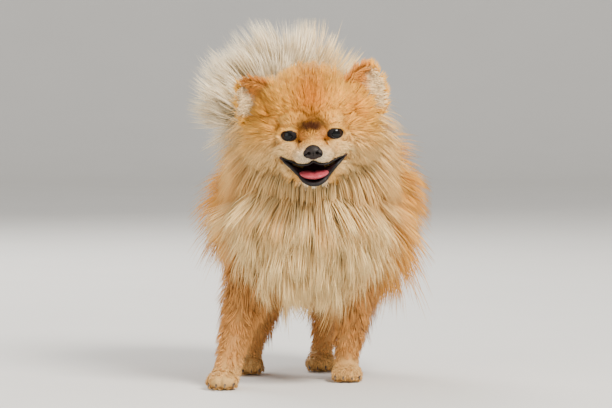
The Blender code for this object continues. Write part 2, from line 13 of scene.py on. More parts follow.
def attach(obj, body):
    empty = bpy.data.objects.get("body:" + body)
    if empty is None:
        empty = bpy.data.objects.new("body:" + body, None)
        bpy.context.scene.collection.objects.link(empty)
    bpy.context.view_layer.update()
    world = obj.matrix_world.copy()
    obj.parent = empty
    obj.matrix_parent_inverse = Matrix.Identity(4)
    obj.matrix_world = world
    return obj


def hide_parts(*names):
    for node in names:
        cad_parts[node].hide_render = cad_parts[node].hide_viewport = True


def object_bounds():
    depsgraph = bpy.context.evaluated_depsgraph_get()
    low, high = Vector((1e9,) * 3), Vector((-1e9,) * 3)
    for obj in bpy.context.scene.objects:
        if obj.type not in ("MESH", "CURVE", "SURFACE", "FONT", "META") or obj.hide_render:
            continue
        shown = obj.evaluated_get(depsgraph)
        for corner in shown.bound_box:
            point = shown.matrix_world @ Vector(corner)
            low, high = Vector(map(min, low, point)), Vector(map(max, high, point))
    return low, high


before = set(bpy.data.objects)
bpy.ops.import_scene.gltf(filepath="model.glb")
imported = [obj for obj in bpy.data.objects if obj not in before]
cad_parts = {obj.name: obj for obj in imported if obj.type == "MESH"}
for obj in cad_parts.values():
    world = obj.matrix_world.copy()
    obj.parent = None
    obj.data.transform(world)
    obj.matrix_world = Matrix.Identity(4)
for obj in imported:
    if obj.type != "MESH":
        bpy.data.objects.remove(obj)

SOLID_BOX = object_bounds()

# Places and sizes of this dog, in metres, before it is set in the middle of its box.
MM = 0.001
TO_MIDDLE = Vector((0.0, 0.011, 0.0))
HEAD_CENTRE = Vector((0.0, -0.117, 0.247))
HEAD_ROLL = math.radians(-3)
EYE_PLACE = Vector((0.0, -0.0228, -0.0146))
EYE_APART = 0.0397
EYE_RADIUS = 0.0083
EYE_TURN = math.radians(22)
EYE_SLIT = (0.0061, 0.0046)
LID_LINE = (0.0062, 0.0047)
NOSE_PLACE = Vector((0.0, -0.0575, -0.0293))
NOSE_RADII = (0.0076, 0.0062, 0.0066)
EAR_HEIGHT = 0.037
EAR_HALF_WIDTH = 0.0205
EAR_WALL = 0.0022
EAR_BEND = 0.011
PLUME_CENTRE = Vector((-0.010, 0.030, 0.225))
ROOT_DEPTH = 0.0012
BOX_MARGIN = 0.004
FLOOR_GAP = 0.0005
CHEST_LINE = -0.055
LEG_REACH = 0.045
SKIN_GRAIN = 0.0021
FACE_GRAIN = 0.0011
ROOT_PATCH = 0.0028

# The head's own measures, in millimetres from its middle.
MOUTH_SECTIONS = (-75, -43, -22, -12)
MOUTH_ROOF = -36.0
MOUTH_MIDDLE = (0, -45)
MOUTH_SHALLOW_FROM = 26
MOUTH_SHALLOW_OVER = 14
LIP_BARE = 1.7
LIP_TAPER = 0.4
EYE_BARE = (5.9, 4.5)
NOSE_BARE = (9.0, 9.0, 7.8)
EAR_LINE = -12
HAIR_SOURCE = (0, -66, -26)
CHIN_HAIR_SOURCE = (0, -60, -38)
SHORTEST_HAIR_AT = (0, -58, -30)

# Across and ahead of the middle of a paw.
TOES = ((-0.0100, -0.0080), (-0.0037, -0.0120), (0.0037, -0.0120), (0.0100, -0.0080))
CLAWS = ((-0.0112, -0.0150), (-0.0040, -0.0193), (0.0040, -0.0193), (0.0112, -0.0150))

# The room and what it is seen with.
BACKDROP_AT = 6.5
BACKDROP_TOP = 7
BACKDROP_BEND = 1.5
HALF_FLOOR = 6
CAMERA_PLACE = (-0.0047, -3.18596, 0.30388)
CAMERA_TILT = math.radians(90 - 2.5)
CAMERA_LENS = 201.4

# Parts of the skin that grow their own kind of hair.
HEAD, JAW, EAR_INSIDE, EAR_BACK, NECK, TRUNK, TAIL, LEG, PAW = range(9)


def linear(red, green, blue):
    """A display colour from 0 to 255 as linear light."""
    part = np.array([red, green, blue]) / 255
    return np.where(part <= 0.04045, part / 12.92, ((part + 0.055) / 1.055) ** 2.4)


GOLD = linear(252, 187, 78)
DEEP_GOLD = linear(204, 117, 28)
DARK_BROWN = linear(74, 36, 10)
EAR_GOLD = linear(226, 150, 66)
EAR_CREAM = linear(255, 224, 172)
EYE_ORANGE = linear(216, 138, 62)
MUZZLE_CREAM = linear(255, 236, 200)
CHEEK_CREAM = linear(252, 210, 140)
CREAM = linear(255, 222, 158)
TIP_GOLD = linear(240, 178, 92)
FLANK_ORANGE = linear(242, 174, 80)
PLUME_CREAM = linear(255, 238, 204)
PLUME_BUFF = linear(240, 204, 140)
LEG_BROWN = linear(226, 162, 90)
PAW_CREAM = linear(240, 190, 118)
# Black of the lips and lids, also painted as shade on the walls of the open mouth.
LIP_BLACK_AND_MOUTH_SHADE = linear(26, 20, 20)
# The red of the throat, darkened as painted shade deep in the mouth.
SHADED_THROAT_RED = linear(70, 22, 26)

# The two tones of each wet or horny surface, as linear light.
NOSE_DARK, NOSE_LIGHT = (0.004, 0.003, 0.003), (0.020, 0.010, 0.007)
LIP_DARK, LIP_LIGHT = (0.005, 0.004, 0.004), (0.014, 0.009, 0.009)
TONGUE_DARK, TONGUE_LIGHT = (0.36, 0.035, 0.052), (0.46, 0.070, 0.090)
CLAW_DARK, CLAW_LIGHT = (0.05, 0.035, 0.03), (0.16, 0.12, 0.09)


# Meshes.


def linked(name, data):
    obj = bpy.data.objects.new(name, data)
    bpy.context.scene.collection.objects.link(obj)
    return obj


def object_of(name, bm):
    mesh = bpy.data.meshes.new(name)
    bm.to_mesh(mesh)
    bm.free()
    return linked(name, mesh)


def points_of(obj):
    places = np.empty(len(obj.data.vertices) * 3, np.float32)
    obj.data.vertices.foreach_get("co", places)
    return places.reshape(-1, 3).astype(float)


def tilted(place, degrees):
    return Matrix.Translation(place) @ Euler([math.radians(a) for a in degrees]).to_matrix().to_4x4()


def smooth_faces(obj):
    obj.data.polygons.foreach_set("use_smooth", np.ones(len(obj.data.polygons), bool))


def settle(obj):
    """Replaces the mesh by what the modifiers make of it."""
    graph = bpy.context.evaluated_depsgraph_get()
    mesh = bpy.data.meshes.new_from_object(obj.evaluated_get(graph))
    obj.modifiers.clear()
    obj.data = mesh
    return obj


def drop(objects):
    for obj in objects:
        bpy.data.objects.remove(obj, do_unlink=True)


def boolean(obj, others, operation):
    """Joins the other closed meshes to obj, or cuts them from it, and removes them."""
    for other in others:
        modifier = obj.modifiers.new(operation, "BOOLEAN")
        modifier.operation = operation
        modifier.solver = "MANIFOLD"
        modifier.object = other
    settle(obj)
    drop(others)
    return obj


def finish_piece(obj, look, stands_for=(), smooth=True):
    """Puts a piece in its place in the frame with its material, and lets it stand for solids."""
    obj.data.transform(Matrix.Translation(TO_MIDDLE))
    obj.data.materials.clear()
    obj.data.materials.append(look)
    if smooth:
        smooth_faces(obj)
    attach(obj, "root")
    if stands_for:
        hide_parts(*stands_for)
    return obj


def add_ball(bm, centre, radii, tilt=(0, 0, 0), sides=24):
    """An ellipsoid added to bm: its centre, half sizes and tilt in degrees. It gives its points."""
    place = tilted(centre, tilt) @ Matrix.Diagonal((*radii, 1))
    alone = bmesh.new()
    bmesh.ops.create_uvsphere(alone, u_segments=sides, v_segments=sides // 2, radius=1, matrix=place)
    mesh = bpy.data.meshes.new("ball")
    alone.to_mesh(mesh)
    alone.free()
    before = len(bm.verts)
    bm.from_mesh(mesh)
    bpy.data.meshes.remove(mesh)
    bm.verts.ensure_lookup_table()
    return bm.verts[before:]


def melt(name, bm, grain, rounds):
    """Melts overlapping closed shapes into one smooth surface."""
    obj = object_of(name, bm)
    remesh = obj.modifiers.new("melt", "REMESH")
    remesh.mode = "VOXEL"
    remesh.voxel_size = grain
    soften = obj.modifiers.new("soften", "SMOOTH")
    soften.factor = 0.5
    soften.iterations = rounds
    return settle(obj)


def smooth_row(rows, u):
    """The row at u from 0 to 1 on a smooth curve through rows of numbers."""
    rows = np.array(rows, float)
    at = u * (len(rows) - 1)
    i = min(int(at), len(rows) - 2)
    t = at - i
    before, start = rows[max(i - 1, 0)], rows[i]
    end, after = rows[i + 1], rows[min(i + 2, len(rows) - 1)]
    slope_in, slope_out = (end - before) / 2, (after - start) / 2
    bow = 3 * (end - start) - 2 * slope_in - slope_out
    return start + slope_in * t + bow * t**2 + (2 * (start - end) + slope_in + slope_out) * t**3


def beads(bm, rows, count):
    """A length of body as a row of overlapping ellipsoids: rows of centre and three half sizes."""
    made = []
    for k in range(count):
        x, y, z, wide, deep, high = smooth_row(rows, k / (count - 1))
        made += add_ball(bm, (x, y, z), (wide, deep, high))
    return made


def tube(name, points, radius, closed=False, taper=1.0):
    """A round cord of flesh along points. An open one grows thin at its ends, less so with a small taper."""
    curve = bpy.data.curves.new(name, "CURVE")
    curve.dimensions = "3D"
    curve.bevel_depth = radius
    curve.bevel_resolution = 4
    curve.use_fill_caps = True
    line = curve.splines.new("POLY")
    line.points.add(len(points) - 1)
    for knot, place in zip(line.points, points):
        knot.co = (*place, 1)
    line.use_cyclic_u = closed
    if not closed:
        last = len(points) - 1
        for k, knot in enumerate(line.points):
            knot.radius = max(0.25, math.sin(math.pi * k / last) ** taper)
    obj = linked(name, curve)
    graph = bpy.context.evaluated_depsgraph_get()
    mesh = bpy.data.meshes.new_from_object(obj.evaluated_get(graph))
    drop([obj])
    return linked(name, mesh)


def head_place():
    return Matrix.Translation(HEAD_CENTRE) @ Matrix.Rotation(HEAD_ROLL, 4, "Y")


def head_millimetres(places):
    """Places as millimetres from the middle of the head, level with it."""
    cosine, sine = math.cos(HEAD_ROLL), math.sin(HEAD_ROLL)
    x, y, z = (places - np.array(HEAD_CENTRE)).T / MM
    return np.stack([x * cosine - z * sine, y, x * sine + z * cosine], axis=1)


# The body under the coat: ellipsoids as centre and half sizes.
TRUNK_ROWS = [
    (-0.003, -0.066, 0.158, 0.054, 0.040, 0.055),
    (-0.001, -0.030, 0.161, 0.062, 0.042, 0.062),
    (0.002, 0.005, 0.165, 0.065, 0.045, 0.063),
    (0.005, 0.040, 0.165, 0.065, 0.045, 0.062),
    (0.008, 0.066, 0.162, 0.062, 0.042, 0.060),
    (0.009, 0.080, 0.158, 0.056, 0.036, 0.055),
]
NECK_ROWS = [
    (0.0, -0.076, 0.238, 0.038, 0.032, 0.034),
    (0.0, -0.092, 0.222, 0.038, 0.036, 0.038),
    (0.0, -0.070, 0.214, 0.048, 0.038, 0.046),
    (0.0, -0.048, 0.200, 0.054, 0.038, 0.050),
    (0.0, -0.034, 0.190, 0.054, 0.034, 0.046),
]
TAIL_ROWS = [
    (0.011, 0.092, 0.190, 0.013, 0.013, 0.013),
    (0.008, 0.098, 0.230, 0.013, 0.013, 0.013),
    (-0.004, 0.082, 0.256, 0.013, 0.013, 0.013),
    (-0.024, 0.052, 0.268, 0.013, 0.013, 0.013),
    (-0.044, 0.020, 0.262, 0.012, 0.012, 0.012),
    (-0.060, -0.002, 0.246, 0.008, 0.008, 0.008),
]
# Legs: rows of centre, half width and half depth, then where the paw is and points.
LEGS = {
    "leg_front_right": (
        [
            (-0.050, -0.046, 0.130, 0.019, 0.023),
            (-0.058, -0.048, 0.090, 0.0165, 0.0195),
            (-0.067, -0.060, 0.055, 0.0130, 0.0150),
            (-0.074, -0.074, 0.028, 0.0115, 0.0130),
            (-0.078, -0.084, 0.012, 0.0118, 0.0130),
        ],
        (-0.0800, -0.0950),
        -6,
    ),
    "leg_front_left": (
        [
            (0.044, -0.034, 0.130, 0.019, 0.023),
            (0.040, -0.026, 0.090, 0.0165, 0.0195),
            (0.037, -0.018, 0.055, 0.0125, 0.0145),
            (0.034, -0.014, 0.028, 0.0110, 0.0125),
            (0.033, -0.012, 0.012, 0.0115, 0.0128),
        ],
        (0.0330, -0.0225),
        2,
    ),
    "leg_hind_right": (
        [
            (-0.030, 0.055, 0.130, 0.022, 0.029),
            (-0.038, 0.055, 0.095, 0.0185, 0.0240),
            (-0.048, 0.066, 0.060, 0.0125, 0.0155),
            (-0.055, 0.066, 0.032, 0.0098, 0.0115),
            (-0.058, 0.060, 0.012, 0.0105, 0.0120),
        ],
        (-0.0590, 0.0500),
        -4,
    ),
    "leg_hind_left": (
        [
            (0.030, 0.075, 0.130, 0.022, 0.029),
            (0.026, 0.082, 0.095, 0.0185, 0.0240),
            (0.018, 0.098, 0.060, 0.0125, 0.0155),
            (0.012, 0.100, 0.032, 0.0098, 0.0115),
            (0.010, 0.094, 0.012, 0.0105, 0.0120),
        ],
        (0.0095, 0.0840),
        2,
    ),
}
# The head, in millimetres from its middle: place, half sizes and tilt, those off the middle on both sides.
SKULL_ROWS = [
    (0, 7, 4, 38, 36, 34),
    (20, 0, 10, 17, 21, 19),
    (30, 2, -16, 19, 21, 20),
    (14, -22, -3, 12.5, 10, 8, 0, 0, 12),
    (0, -28, -14, 11, 15, 12),
    (0, -37, -28, 13, 20, 10.5),
    (8.5, -43, -32.5, 9, 12, 8),
    (20, -23, -29, 12.5, 13, 10),
    (0, -2, -36, 29, 21, 17),
    (EYE_APART / MM / 2, EYE_PLACE.y / MM, EYE_PLACE.z / MM, 9.9, 9.9, 9.7),
]
JAW_ROWS = [
    (0, -36, -52, 11, 13, 7),
    (0, -21, -46, 18, 18, 11),
    (17, -24, -41.5, 9, 12, 7, 0, -20, 0),
]
EARS = {
    "ear_right": (HEAD_CENTRE + Vector((-0.0385, 0.002, 0.002)), (-6, -44, -24)),
    "ear_left": (HEAD_CENTRE + Vector((0.043, 0.002, 0.009)), (-6, 17, 20)),
}


def add_head_balls(bm, rows):
    made = []
    for x, y, z, wide, deep, high, *tilt in rows:
        turn = tilt or (0, 0, 0)
        radii = Vector((wide, deep, high)) * MM
        made += add_ball(bm, Vector((x, y, z)) * MM, radii, turn)
        if x:
            made += add_ball(bm, Vector((-x, y, z)) * MM, radii, (turn[0], -turn[1], -turn[2]))
    bmesh.ops.transform(bm, matrix=head_place(), verts=made)
    return made


def ear_matrix(name):
    return tilted(*EARS[name])


def add_ear(bm, name):
    """A cupped ear: a sheet bent round its own axis, with a thin wall. It gives its inner and back points."""
    sheet = bmesh.new()
    bmesh.ops.create_grid(sheet, x_segments=16, y_segments=14, size=1)
    for vert in sheet.verts:
        s, v = vert.co.x, (vert.co.y + 1) / 2
        half = EAR_HALF_WIDTH * (1 - v**1.8) ** 0.75 + 0.0012
        cup = EAR_BEND * (1 - 0.55 * v) * (s * s - 0.5)
        vert.co = Vector((half * s, -cup, EAR_HEIGHT * v))
    bmesh.ops.recalc_face_normals(sheet, faces=sheet.faces)
    bmesh.ops.solidify(sheet, geom=sheet.faces, thickness=EAR_WALL)
    bmesh.ops.transform(sheet, matrix=ear_matrix(name), verts=sheet.verts)
    bmesh.ops.recalc_face_normals(sheet, faces=sheet.faces)
    sheet.normal_update()
    facing = ear_matrix(name).to_3x3() @ Vector((0, -1, 0))
    tagged = []
    for vert in sheet.verts:
        kind = EAR_INSIDE if vert.normal.dot(facing) > 0 else EAR_BACK
        tagged.append((vert.co.copy(), kind))
    mesh = bpy.data.meshes.new("ear")
    sheet.to_mesh(mesh)
    sheet.free()
    bm.from_mesh(mesh)
    return tagged


def add_leg(bm, name):
    """The shank and the paw of one leg. It gives the points of each."""
    rows, place, heading = LEGS[name]
    full = [(x, y, z, wide, deep, 0.012) for x, y, z, wide, deep in rows]
    shank = beads(bm, full, 22)
    turn = Matrix.Rotation(math.radians(heading), 4, "Z")
    at = Matrix.Translation((*place, 0)) @ turn
    paw = add_ball(bm, at @ Vector((0, 0.002, 0.0095)), (0.0135, 0.0160, 0.0090))
    for across, ahead in TOES:
        toe = at @ Vector((across, ahead, 0.0072))
        paw += add_ball(bm, toe, (0.0038, 0.0075, 0.0062), (0, 0, heading - across * 900))
    return shank, paw


def tagged_points(verts, tag):
    return [(vert.co.copy(), tag) for vert in verts]


def mouth_outline():
    """The open mouth seen from the front as x and z in millimetres: upper lip edge, then lower lip edge."""
    upper = [(0, -38.6), (4, -40.3), (9, -41.1), (14.5, -40.2), (21, -37.2), (28.7, -33.8)]
    lower = [(26, -36.9), (19.5, -42.3), (13.5, -48.8), (9.5, -53.2), (4.8, -56.2), (0, -57)]
    half = upper + lower
    return half + [(-x, z) for x, z in reversed(half) if x]


def mouth_shares(x, y):
    """How wide and how deep the room of the mouth is at y, as shares of its edge: its floor rises inward."""
    wide = np.interp(y, MOUTH_SECTIONS, [1.0, 1.0, 1.0, 0.80])
    floor = np.interp(y, MOUTH_SECTIONS, [1.0, 1.0, 0.55, 0.30])
    middle = np.clip((MOUTH_SHALLOW_FROM - np.abs(x / wide)) / MOUTH_SHALLOW_OVER, 0, 1)
    return wide, 1 + (floor - 1) * middle


def mouth_cutter():
    bm = bmesh.new()
    rings = []
    for y in MOUTH_SECTIONS:
        ring = []
        for x, z in mouth_outline():
            wide, deep = mouth_shares(x, y)
            ring.append(bm.verts.new(Vector((x * wide, y, MOUTH_ROOF + (z - MOUTH_ROOF) * deep)) * MM))
        rings.append([bm.edges.new(pair) for pair in zip(ring, ring[1:] + ring[:1])])
        if y in (MOUTH_SECTIONS[0], MOUTH_SECTIONS[-1]):
            bm.faces.new(ring)
    for near, far in zip(rings, rings[1:]):
        bmesh.ops.bridge_loops(bm, edges=near + far)
    bmesh.ops.recalc_face_normals(bm, faces=bm.faces)
    bmesh.ops.triangulate(bm, faces=bm.faces)
    bmesh.ops.transform(bm, matrix=head_place(), verts=bm.verts)
    return object_of("mouth_cut", bm)


def eye_centre(side):
    return EYE_PLACE + Vector((side * EYE_APART / 2, 0, 0))


def eye_front(side):
    """The front of the eye in millimetres, from which the hair around it lies away."""
    return np.array((side * EYE_APART / 2, EYE_PLACE.y - 0.008, EYE_PLACE.z)) / MM


def almond(side, half_wide, half_high, count=32):
    """Points of the lids' opening, as seen from the front."""
    found = []
    for k in range(count):
        angle = 2 * math.pi * k / count
        x = half_wide * math.cos(angle)
        z = half_high * math.sin(angle) * abs(math.sin(angle)) ** 0.3 + side * x * 0.10
        found.append((x, z))
    return found


def eye_cutter(side):
    bm = bmesh.new()
    turn_out = Matrix.Rotation(side * EYE_TURN, 3, "Z")
    loop = [bm.verts.new(Vector((x, -0.003, z))) for x, z in almond(side, *EYE_SLIT)]
    face = bm.faces.new(loop)
    made = bmesh.ops.extrude_face_region(bm, geom=[face])
    far = [item for item in made["geom"] if isinstance(item, bmesh.types.BMVert)]
    bmesh.ops.translate(bm, vec=(0, -0.014, 0), verts=far)
    bmesh.ops.recalc_face_normals(bm, faces=bm.faces)
    bmesh.ops.triangulate(bm, faces=bm.faces)
    for vert in bm.verts:
        vert.co = eye_centre(side) + turn_out @ vert.co
    bmesh.ops.transform(bm, matrix=head_place(), verts=bm.verts)
    return object_of("eye_cut", bm)


def make_skin():
    """One skin over head, neck, trunk, tail, legs and ears, and what part of the body each place of it is."""
    body = bmesh.new()
    tags = tagged_points(beads(body, TRUNK_ROWS, 14), TRUNK)
    tags += tagged_points(beads(body, NECK_ROWS, 8), NECK)
    tags += tagged_points(beads(body, TAIL_ROWS, 26), TAIL)
    for name in LEGS:
        shank, paw = add_leg(body, name)
        tags += tagged_points(shank, LEG) + tagged_points(paw, PAW)
    skin = melt("skin", body, grain=SKIN_GRAIN, rounds=4)
    head = bmesh.new()
    tags += tagged_points(add_head_balls(head, SKULL_ROWS), HEAD)
    tags += tagged_points(add_head_balls(head, JAW_ROWS), JAW)
    for name, (place, _) in EARS.items():
        tags += add_ear(head, name)
        foot = HEAD_CENTRE + (place - HEAD_CENTRE) * 0.80
        tags += tagged_points(add_ball(head, foot, (0.013, 0.013, 0.012)), HEAD)
    face = melt("face", head, grain=FACE_GRAIN, rounds=5)
    boolean(skin, [face], "UNION")
    boolean(skin, [mouth_cutter(), eye_cutter(-1), eye_cutter(1)], "DIFFERENCE")
    tree = KDTree(len(tags))
    for k, (place, _) in enumerate(tags):
        tree.insert(place, k)
    tree.balance()
    kinds = np.array([tags[tree.find(vert.co)[1]][1] for vert in skin.data.vertices])
    return skin, kinds


# The coat's colours, by place on the body.


def spot(places, centre, radius):
    """How much of a marking is at each place: 1 in its middle, fading over its radius."""
    away = (places - np.array(centre)) / np.array(radius)
    return np.exp(-0.5 * (away**2).sum(axis=1))


def ramp(values, start, end):
    share = np.clip((values - start) / (end - start), 0, 1)
    return share * share * (3 - 2 * share)


def over(base, colour, share):
    return base * (1 - share[:, None]) + colour * share[:, None]


def head_colour(places):
    h = head_millimetres(places)
    wide = np.stack([np.abs(h[:, 0]), h[:, 1], h[:, 2]], axis=1)
    found = np.tile(GOLD, (len(h), 1))
    found = over(found, CHEEK_CREAM, ramp(wide[:, 2], -6, -26) * ramp(wide[:, 0], 8, 26))
    found = over(found, DEEP_GOLD, 0.9 * spot(wide, (0, -32, 14), (11, 40, 17)))
    found = over(found, DEEP_GOLD, 0.5 * spot(wide, (34, -20, 4), (7, 30, 12)))
    found = over(found, CHEEK_CREAM, 0.25 * spot(wide, (22, -30, -5), (7, 14, 3.0)))
    found = over(found, EYE_ORANGE, 0.9 * spot(wide, (9, -34, -14), (6, 14, 6)))
    found = over(found, DARK_BROWN, 0.5 * spot(wide, (0, -34, -3), (6, 14, 6)))
    found = over(found, DARK_BROWN, ramp(spot(wide, (0, -36, -9.4), (7.0, 14, 3.6)), 0.10, 0.85))
    found = over(found, DARK_BROWN, 0.7 * spot(wide, (8.5, -34, -6.5), (3.2, 14, 2.6)))
    found = over(found, MUZZLE_CREAM, 0.95 * spot(wide, (5, -50, -34), (9, 26, 6)))
    found = over(found, MUZZLE_CREAM, ramp(wide[:, 2], -46, -56) * ramp(wide[:, 0], 16, 6))
    return found


def trunk_colour(places):
    x, y, z = places.T
    found = np.tile(FLANK_ORANGE, (len(places), 1))
    front = ramp(y, -0.035, -0.085)
    found = over(found, CREAM, front * ramp(np.abs(x), 0.085, 0.060))
    found = over(found, CREAM, 0.5 * ramp(z, 0.125, 0.10))
    return found


def coat_colour(places, kinds):
    """Linear colour of coat and skin at places of the given kinds."""
    found = np.tile(FLANK_ORANGE, (len(places), 1))
    for kind, paint in (
        (HEAD, head_colour),
        (JAW, head_colour),
        (NECK, neck_colour),
        (TRUNK, trunk_colour),
        (TAIL, tail_colour),
        (LEG, leg_colour),
        (PAW, leg_colour),
        (EAR_INSIDE, lambda p: ear_colour(p, EAR_CREAM)),
        (EAR_BACK, lambda p: ear_colour(p, GOLD)),
    ):
        chosen = kinds == kind
        if chosen.any():
            found[chosen] = paint(places[chosen])
    return found


def ear_colour(places, outer_hair):
    """Gold on the side of the crown and at the foot, paler over the outer part of the ear."""
    found = np.tile(EAR_GOLD, (len(places), 1))
    for name in EARS:
        side = 1 if name == "ear_left" else -1
        back = np.array(ear_matrix(name).inverted())
        local = places @ back[:3, :3].T + back[:3, 3]
        outer = ramp(side * local[:, 0] / EAR_HALF_WIDTH, -0.30, 0.25) * (np.sign(places[:, 0]) == side)
        found = over(found, outer_hair, outer)
    return over(found, GOLD, ramp(head_millimetres(places)[:, 2], 9, 2))


def neck_colour(places):
    found = np.tile(FLANK_ORANGE, (len(places), 1))
    return over(found, CREAM, ramp(places[:, 1], -0.025, -0.062))


def tail_colour(places):
    found = np.tile(PLUME_CREAM, (len(places), 1))
    return over(found, PLUME_BUFF, ramp(places[:, 0], -0.018, 0.006))


def leg_colour(places):
    found = np.tile(LEG_BROWN, (len(places), 1))
    return over(found, PAW_CREAM, ramp(places[:, 2], 0.030, 0.012))


# The lie and length of the coat. Each lie is given for places and the outward direction there.


def unit(vectors):
    return vectors / np.maximum(np.linalg.norm(vectors, axis=1, keepdims=True), 1e-9)


def head_flow(places, out):
    h = head_millimetres(places)
    flow = unit(h - np.array(HAIR_SOURCE))
    flow += np.array((0, 0, -0.95)) * ramp(h[:, 2], 4, -26)[:, None] * ramp(np.abs(h[:, 0]), 14, 32)[:, None]
    flow += np.array((0, -0.1, 0.45)) * ramp(h[:, 2], 4, 26)[:, None]
    for side in (-1, 1):
        eye = eye_front(side)
        flow += unit(h - eye) * 1.1 * spot(h, eye, (9, 16, 8))[:, None]
    beyond = np.where(h[:, 2] > -46 + 0.35 * np.abs(h[:, 0]), 1.0, -1.0)
    aside = np.stack([0.5 * np.sign(h[:, 0]), np.full(len(h), 0.6), beyond], axis=1)
    return flow + 1.6 * aside * ramp(mouth_gap(places), 8, 2)[:, None]


def jaw_flow(places, out):
    h = head_millimetres(places)
    return unit(h - np.array(CHIN_HAIR_SOURCE)) + np.array((0, 0.3, -0.4))


def neck_flow(places, out):
    away = unit(places - np.array(HEAD_CENTRE)) * np.array((0.50, 0.8, 1.0))
    return away + np.array((0, 0.30, -1.05))


def trunk_flow(places, out):
    x, y = places[:, 0], places[:, 1]
    flow = np.stack([1.5 * x, np.full_like(x, 0.55), np.full_like(x, -0.85)], axis=1)
    front = np.stack([1.2 * x, np.full_like(x, 0.02), np.full_like(x, -1.0)], axis=1)
    share = ramp(y, -0.030, -0.085)[:, None]
    return flow * (1 - share) + front * share


def tail_flow(places, out):
    away = places - np.array(PLUME_CENTRE)
    return unit(away * np.array((1, 0.45, 1))) + np.array((-0.15, -0.15, 0.10)) + out * 0.5


def leg_flow(places, out):
    down = np.tile(np.array((0, 0.22, -1.0)), (len(places), 1))
    return down + out * np.array((0.5, 0.5, 0))


def paw_flow(places, out):
    return np.tile(np.array((0, -0.8, -0.6)), (len(places), 1)) + out * np.array((0.4, 0.2, 0))


def ear_flow(places, out, kind):
    """From the foot of the ear to its rim. Inside, the hair lies out over the edge."""
    flow = np.zeros_like(places)
    for name in EARS:
        at = ear_matrix(name)
        back = np.array(at.inverted())
        side = 1 if name == "ear_left" else -1
        mine = np.sign(places[:, 0]) == side
        local = places[mine] @ back[:3, :3].T + back[:3, 3]
        one = np.ones(mine.sum())
        lie = np.stack([local[:, 0] * 40, 0 * one, one], axis=1)
        if kind == EAR_INSIDE:
            lie = np.stack([side * one, -0.25 * one, 0.25 * one], axis=1)
        flow[mine] = lie @ np.array(at)[:3, :3].T
    return flow


def head_length(places):
    h = head_millimetres(places)
    away = np.linalg.norm(h - np.array(SHORTEST_HAIR_AT), axis=1)
    length = np.interp(away, [8, 20, 35, 52, 68, 90], [3.4, 4.6, 6.2, 10.0, 15.0, 22.0]) * MM
    length *= 1 + 0.8 * ramp(np.abs(h[:, 0]), 22, 42) * ramp(h[:, 2], 6, -14)
    length *= 1 + 0.8 * ramp(h[:, 1], 6, 34)
    for side in (-1, 1):
        eye = eye_front(side)
        length *= 1 - 0.55 * spot(h, eye, (10, 30, 8))
    return length * (1 - 0.6 * ramp(mouth_gap(places), 8, 2))


def trunk_length(places):
    x, y, z = places.T
    length = np.full(len(places), 0.062)
    length *= 1 - 0.22 * ramp(y, -0.04, -0.08)
    length *= 1 - 0.62 * ramp(z, 0.135, 0.105) * ramp(y, -0.06, -0.02) * ramp(np.abs(x), 0.055, 0.035)
    length *= 1 - 0.30 * ramp(y, 0.075, 0.110)
    length *= 1 + 0.30 * ramp(x, 0.035, 0.060) * ramp(z, 0.16, 0.13) * ramp(y, -0.04, 0.0)
    return length


def neck_length(places):
    length = np.interp(places[:, 1], [-0.12, -0.09, -0.04], [0.052, 0.057, 0.058])
    return length * (1 - 0.20 * ramp(np.abs(places[:, 0]), 0.028, 0.050))


def tail_length(places):
    return np.interp(places[:, 2], [0.19, 0.225, 0.25], [0.024, 0.042, 0.054])


def leg_length(places, out):
    z = places[:, 2]
    short = np.interp(z, [0.010, 0.030, 0.060, 0.100], [5, 7, 13, 24]) * MM
    feather = ramp(out[:, 1], 0.1, 0.9) * np.interp(z, [0.025, 0.050, 0.100], [2, 22, 30]) * MM
    return short + feather


# Strands: each is a thin closed blade of three sides that tapers to a point.


class Surface:
    """The skin as arrays, from which roots of hair are drawn."""

    def __init__(self, obj, kinds):
        mesh = obj.data
        mesh.calc_loop_triangles()
        self.places = points_of(obj)
        normals = np.empty(len(mesh.vertices) * 3, np.float32)
        mesh.vertices.foreach_get("normal", normals)
        self.normals = normals.reshape(-1, 3).astype(float)
        faces = np.empty(len(mesh.loop_triangles) * 3, np.int32)
        mesh.loop_triangles.foreach_get("vertices", faces)
        self.faces = faces.reshape(-1, 3)
        corner = self.places[self.faces]
        crossed = np.cross(corner[:, 1] - corner[:, 0], corner[:, 2] - corner[:, 0])
        self.areas = np.linalg.norm(crossed, axis=1) / 2
        self.middles = corner.mean(axis=1)
        self.face_kinds = kinds[self.faces[:, 0]]

    def roots(self, draw, kind, count, where=None):
        """Places of roots and their outward directions, spread over the faces of one kind of skin."""
        weight = self.areas * (self.face_kinds == kind)
        weight *= ~in_mouth(self.middles)
        if where is not None:
            weight *= where(self.middles)
        face = draw.choice(len(weight), count, p=weight / weight.sum())
        one, two = np.sqrt(draw.random(count)), draw.random(count)
        shares = np.stack([1 - one, one * (1 - two), one * two], axis=1)[:, :, None]
        places = (self.places[self.faces[face]] * shares).sum(axis=1)
        out = unit((self.normals[self.faces[face]] * shares).sum(axis=1))
        return places, out


def inside_outline(x, z, outline):
    """Whether points are inside a closed outline, by how many of its edges lie to one side of them."""
    inside = np.zeros(len(x), bool)
    for (ax, az), (bx, bz) in zip(outline, outline[1:] + outline[:1]):
        crossing = (az > z) != (bz > z)
        with np.errstate(divide="ignore", invalid="ignore"):
            at = (bx - ax) * (z - az) / (bz - az) + ax
        inside ^= crossing & (x < at)
    return inside


def mouth_flat(places):
    """Places as x and z on the flat outline of the mouth, however far inside they are."""
    x, y, z = head_millimetres(places).T
    wide, deep = mouth_shares(x, y)
    return x / wide, MOUTH_ROOF + (z - MOUTH_ROOF) / deep, y


def in_mouth(places, swell=1.10):
    """Places in the room of the open mouth or on its walls, where no hair grows."""
    x, z, y = mouth_flat(places)
    mid_x, mid_z = MOUTH_MIDDLE
    outline = [(mid_x + (a - mid_x) * swell, mid_z + (b - mid_z) * swell) for a, b in mouth_outline()]
    return inside_outline(x, z, outline) & (y < MOUTH_SECTIONS[-1] + 2)


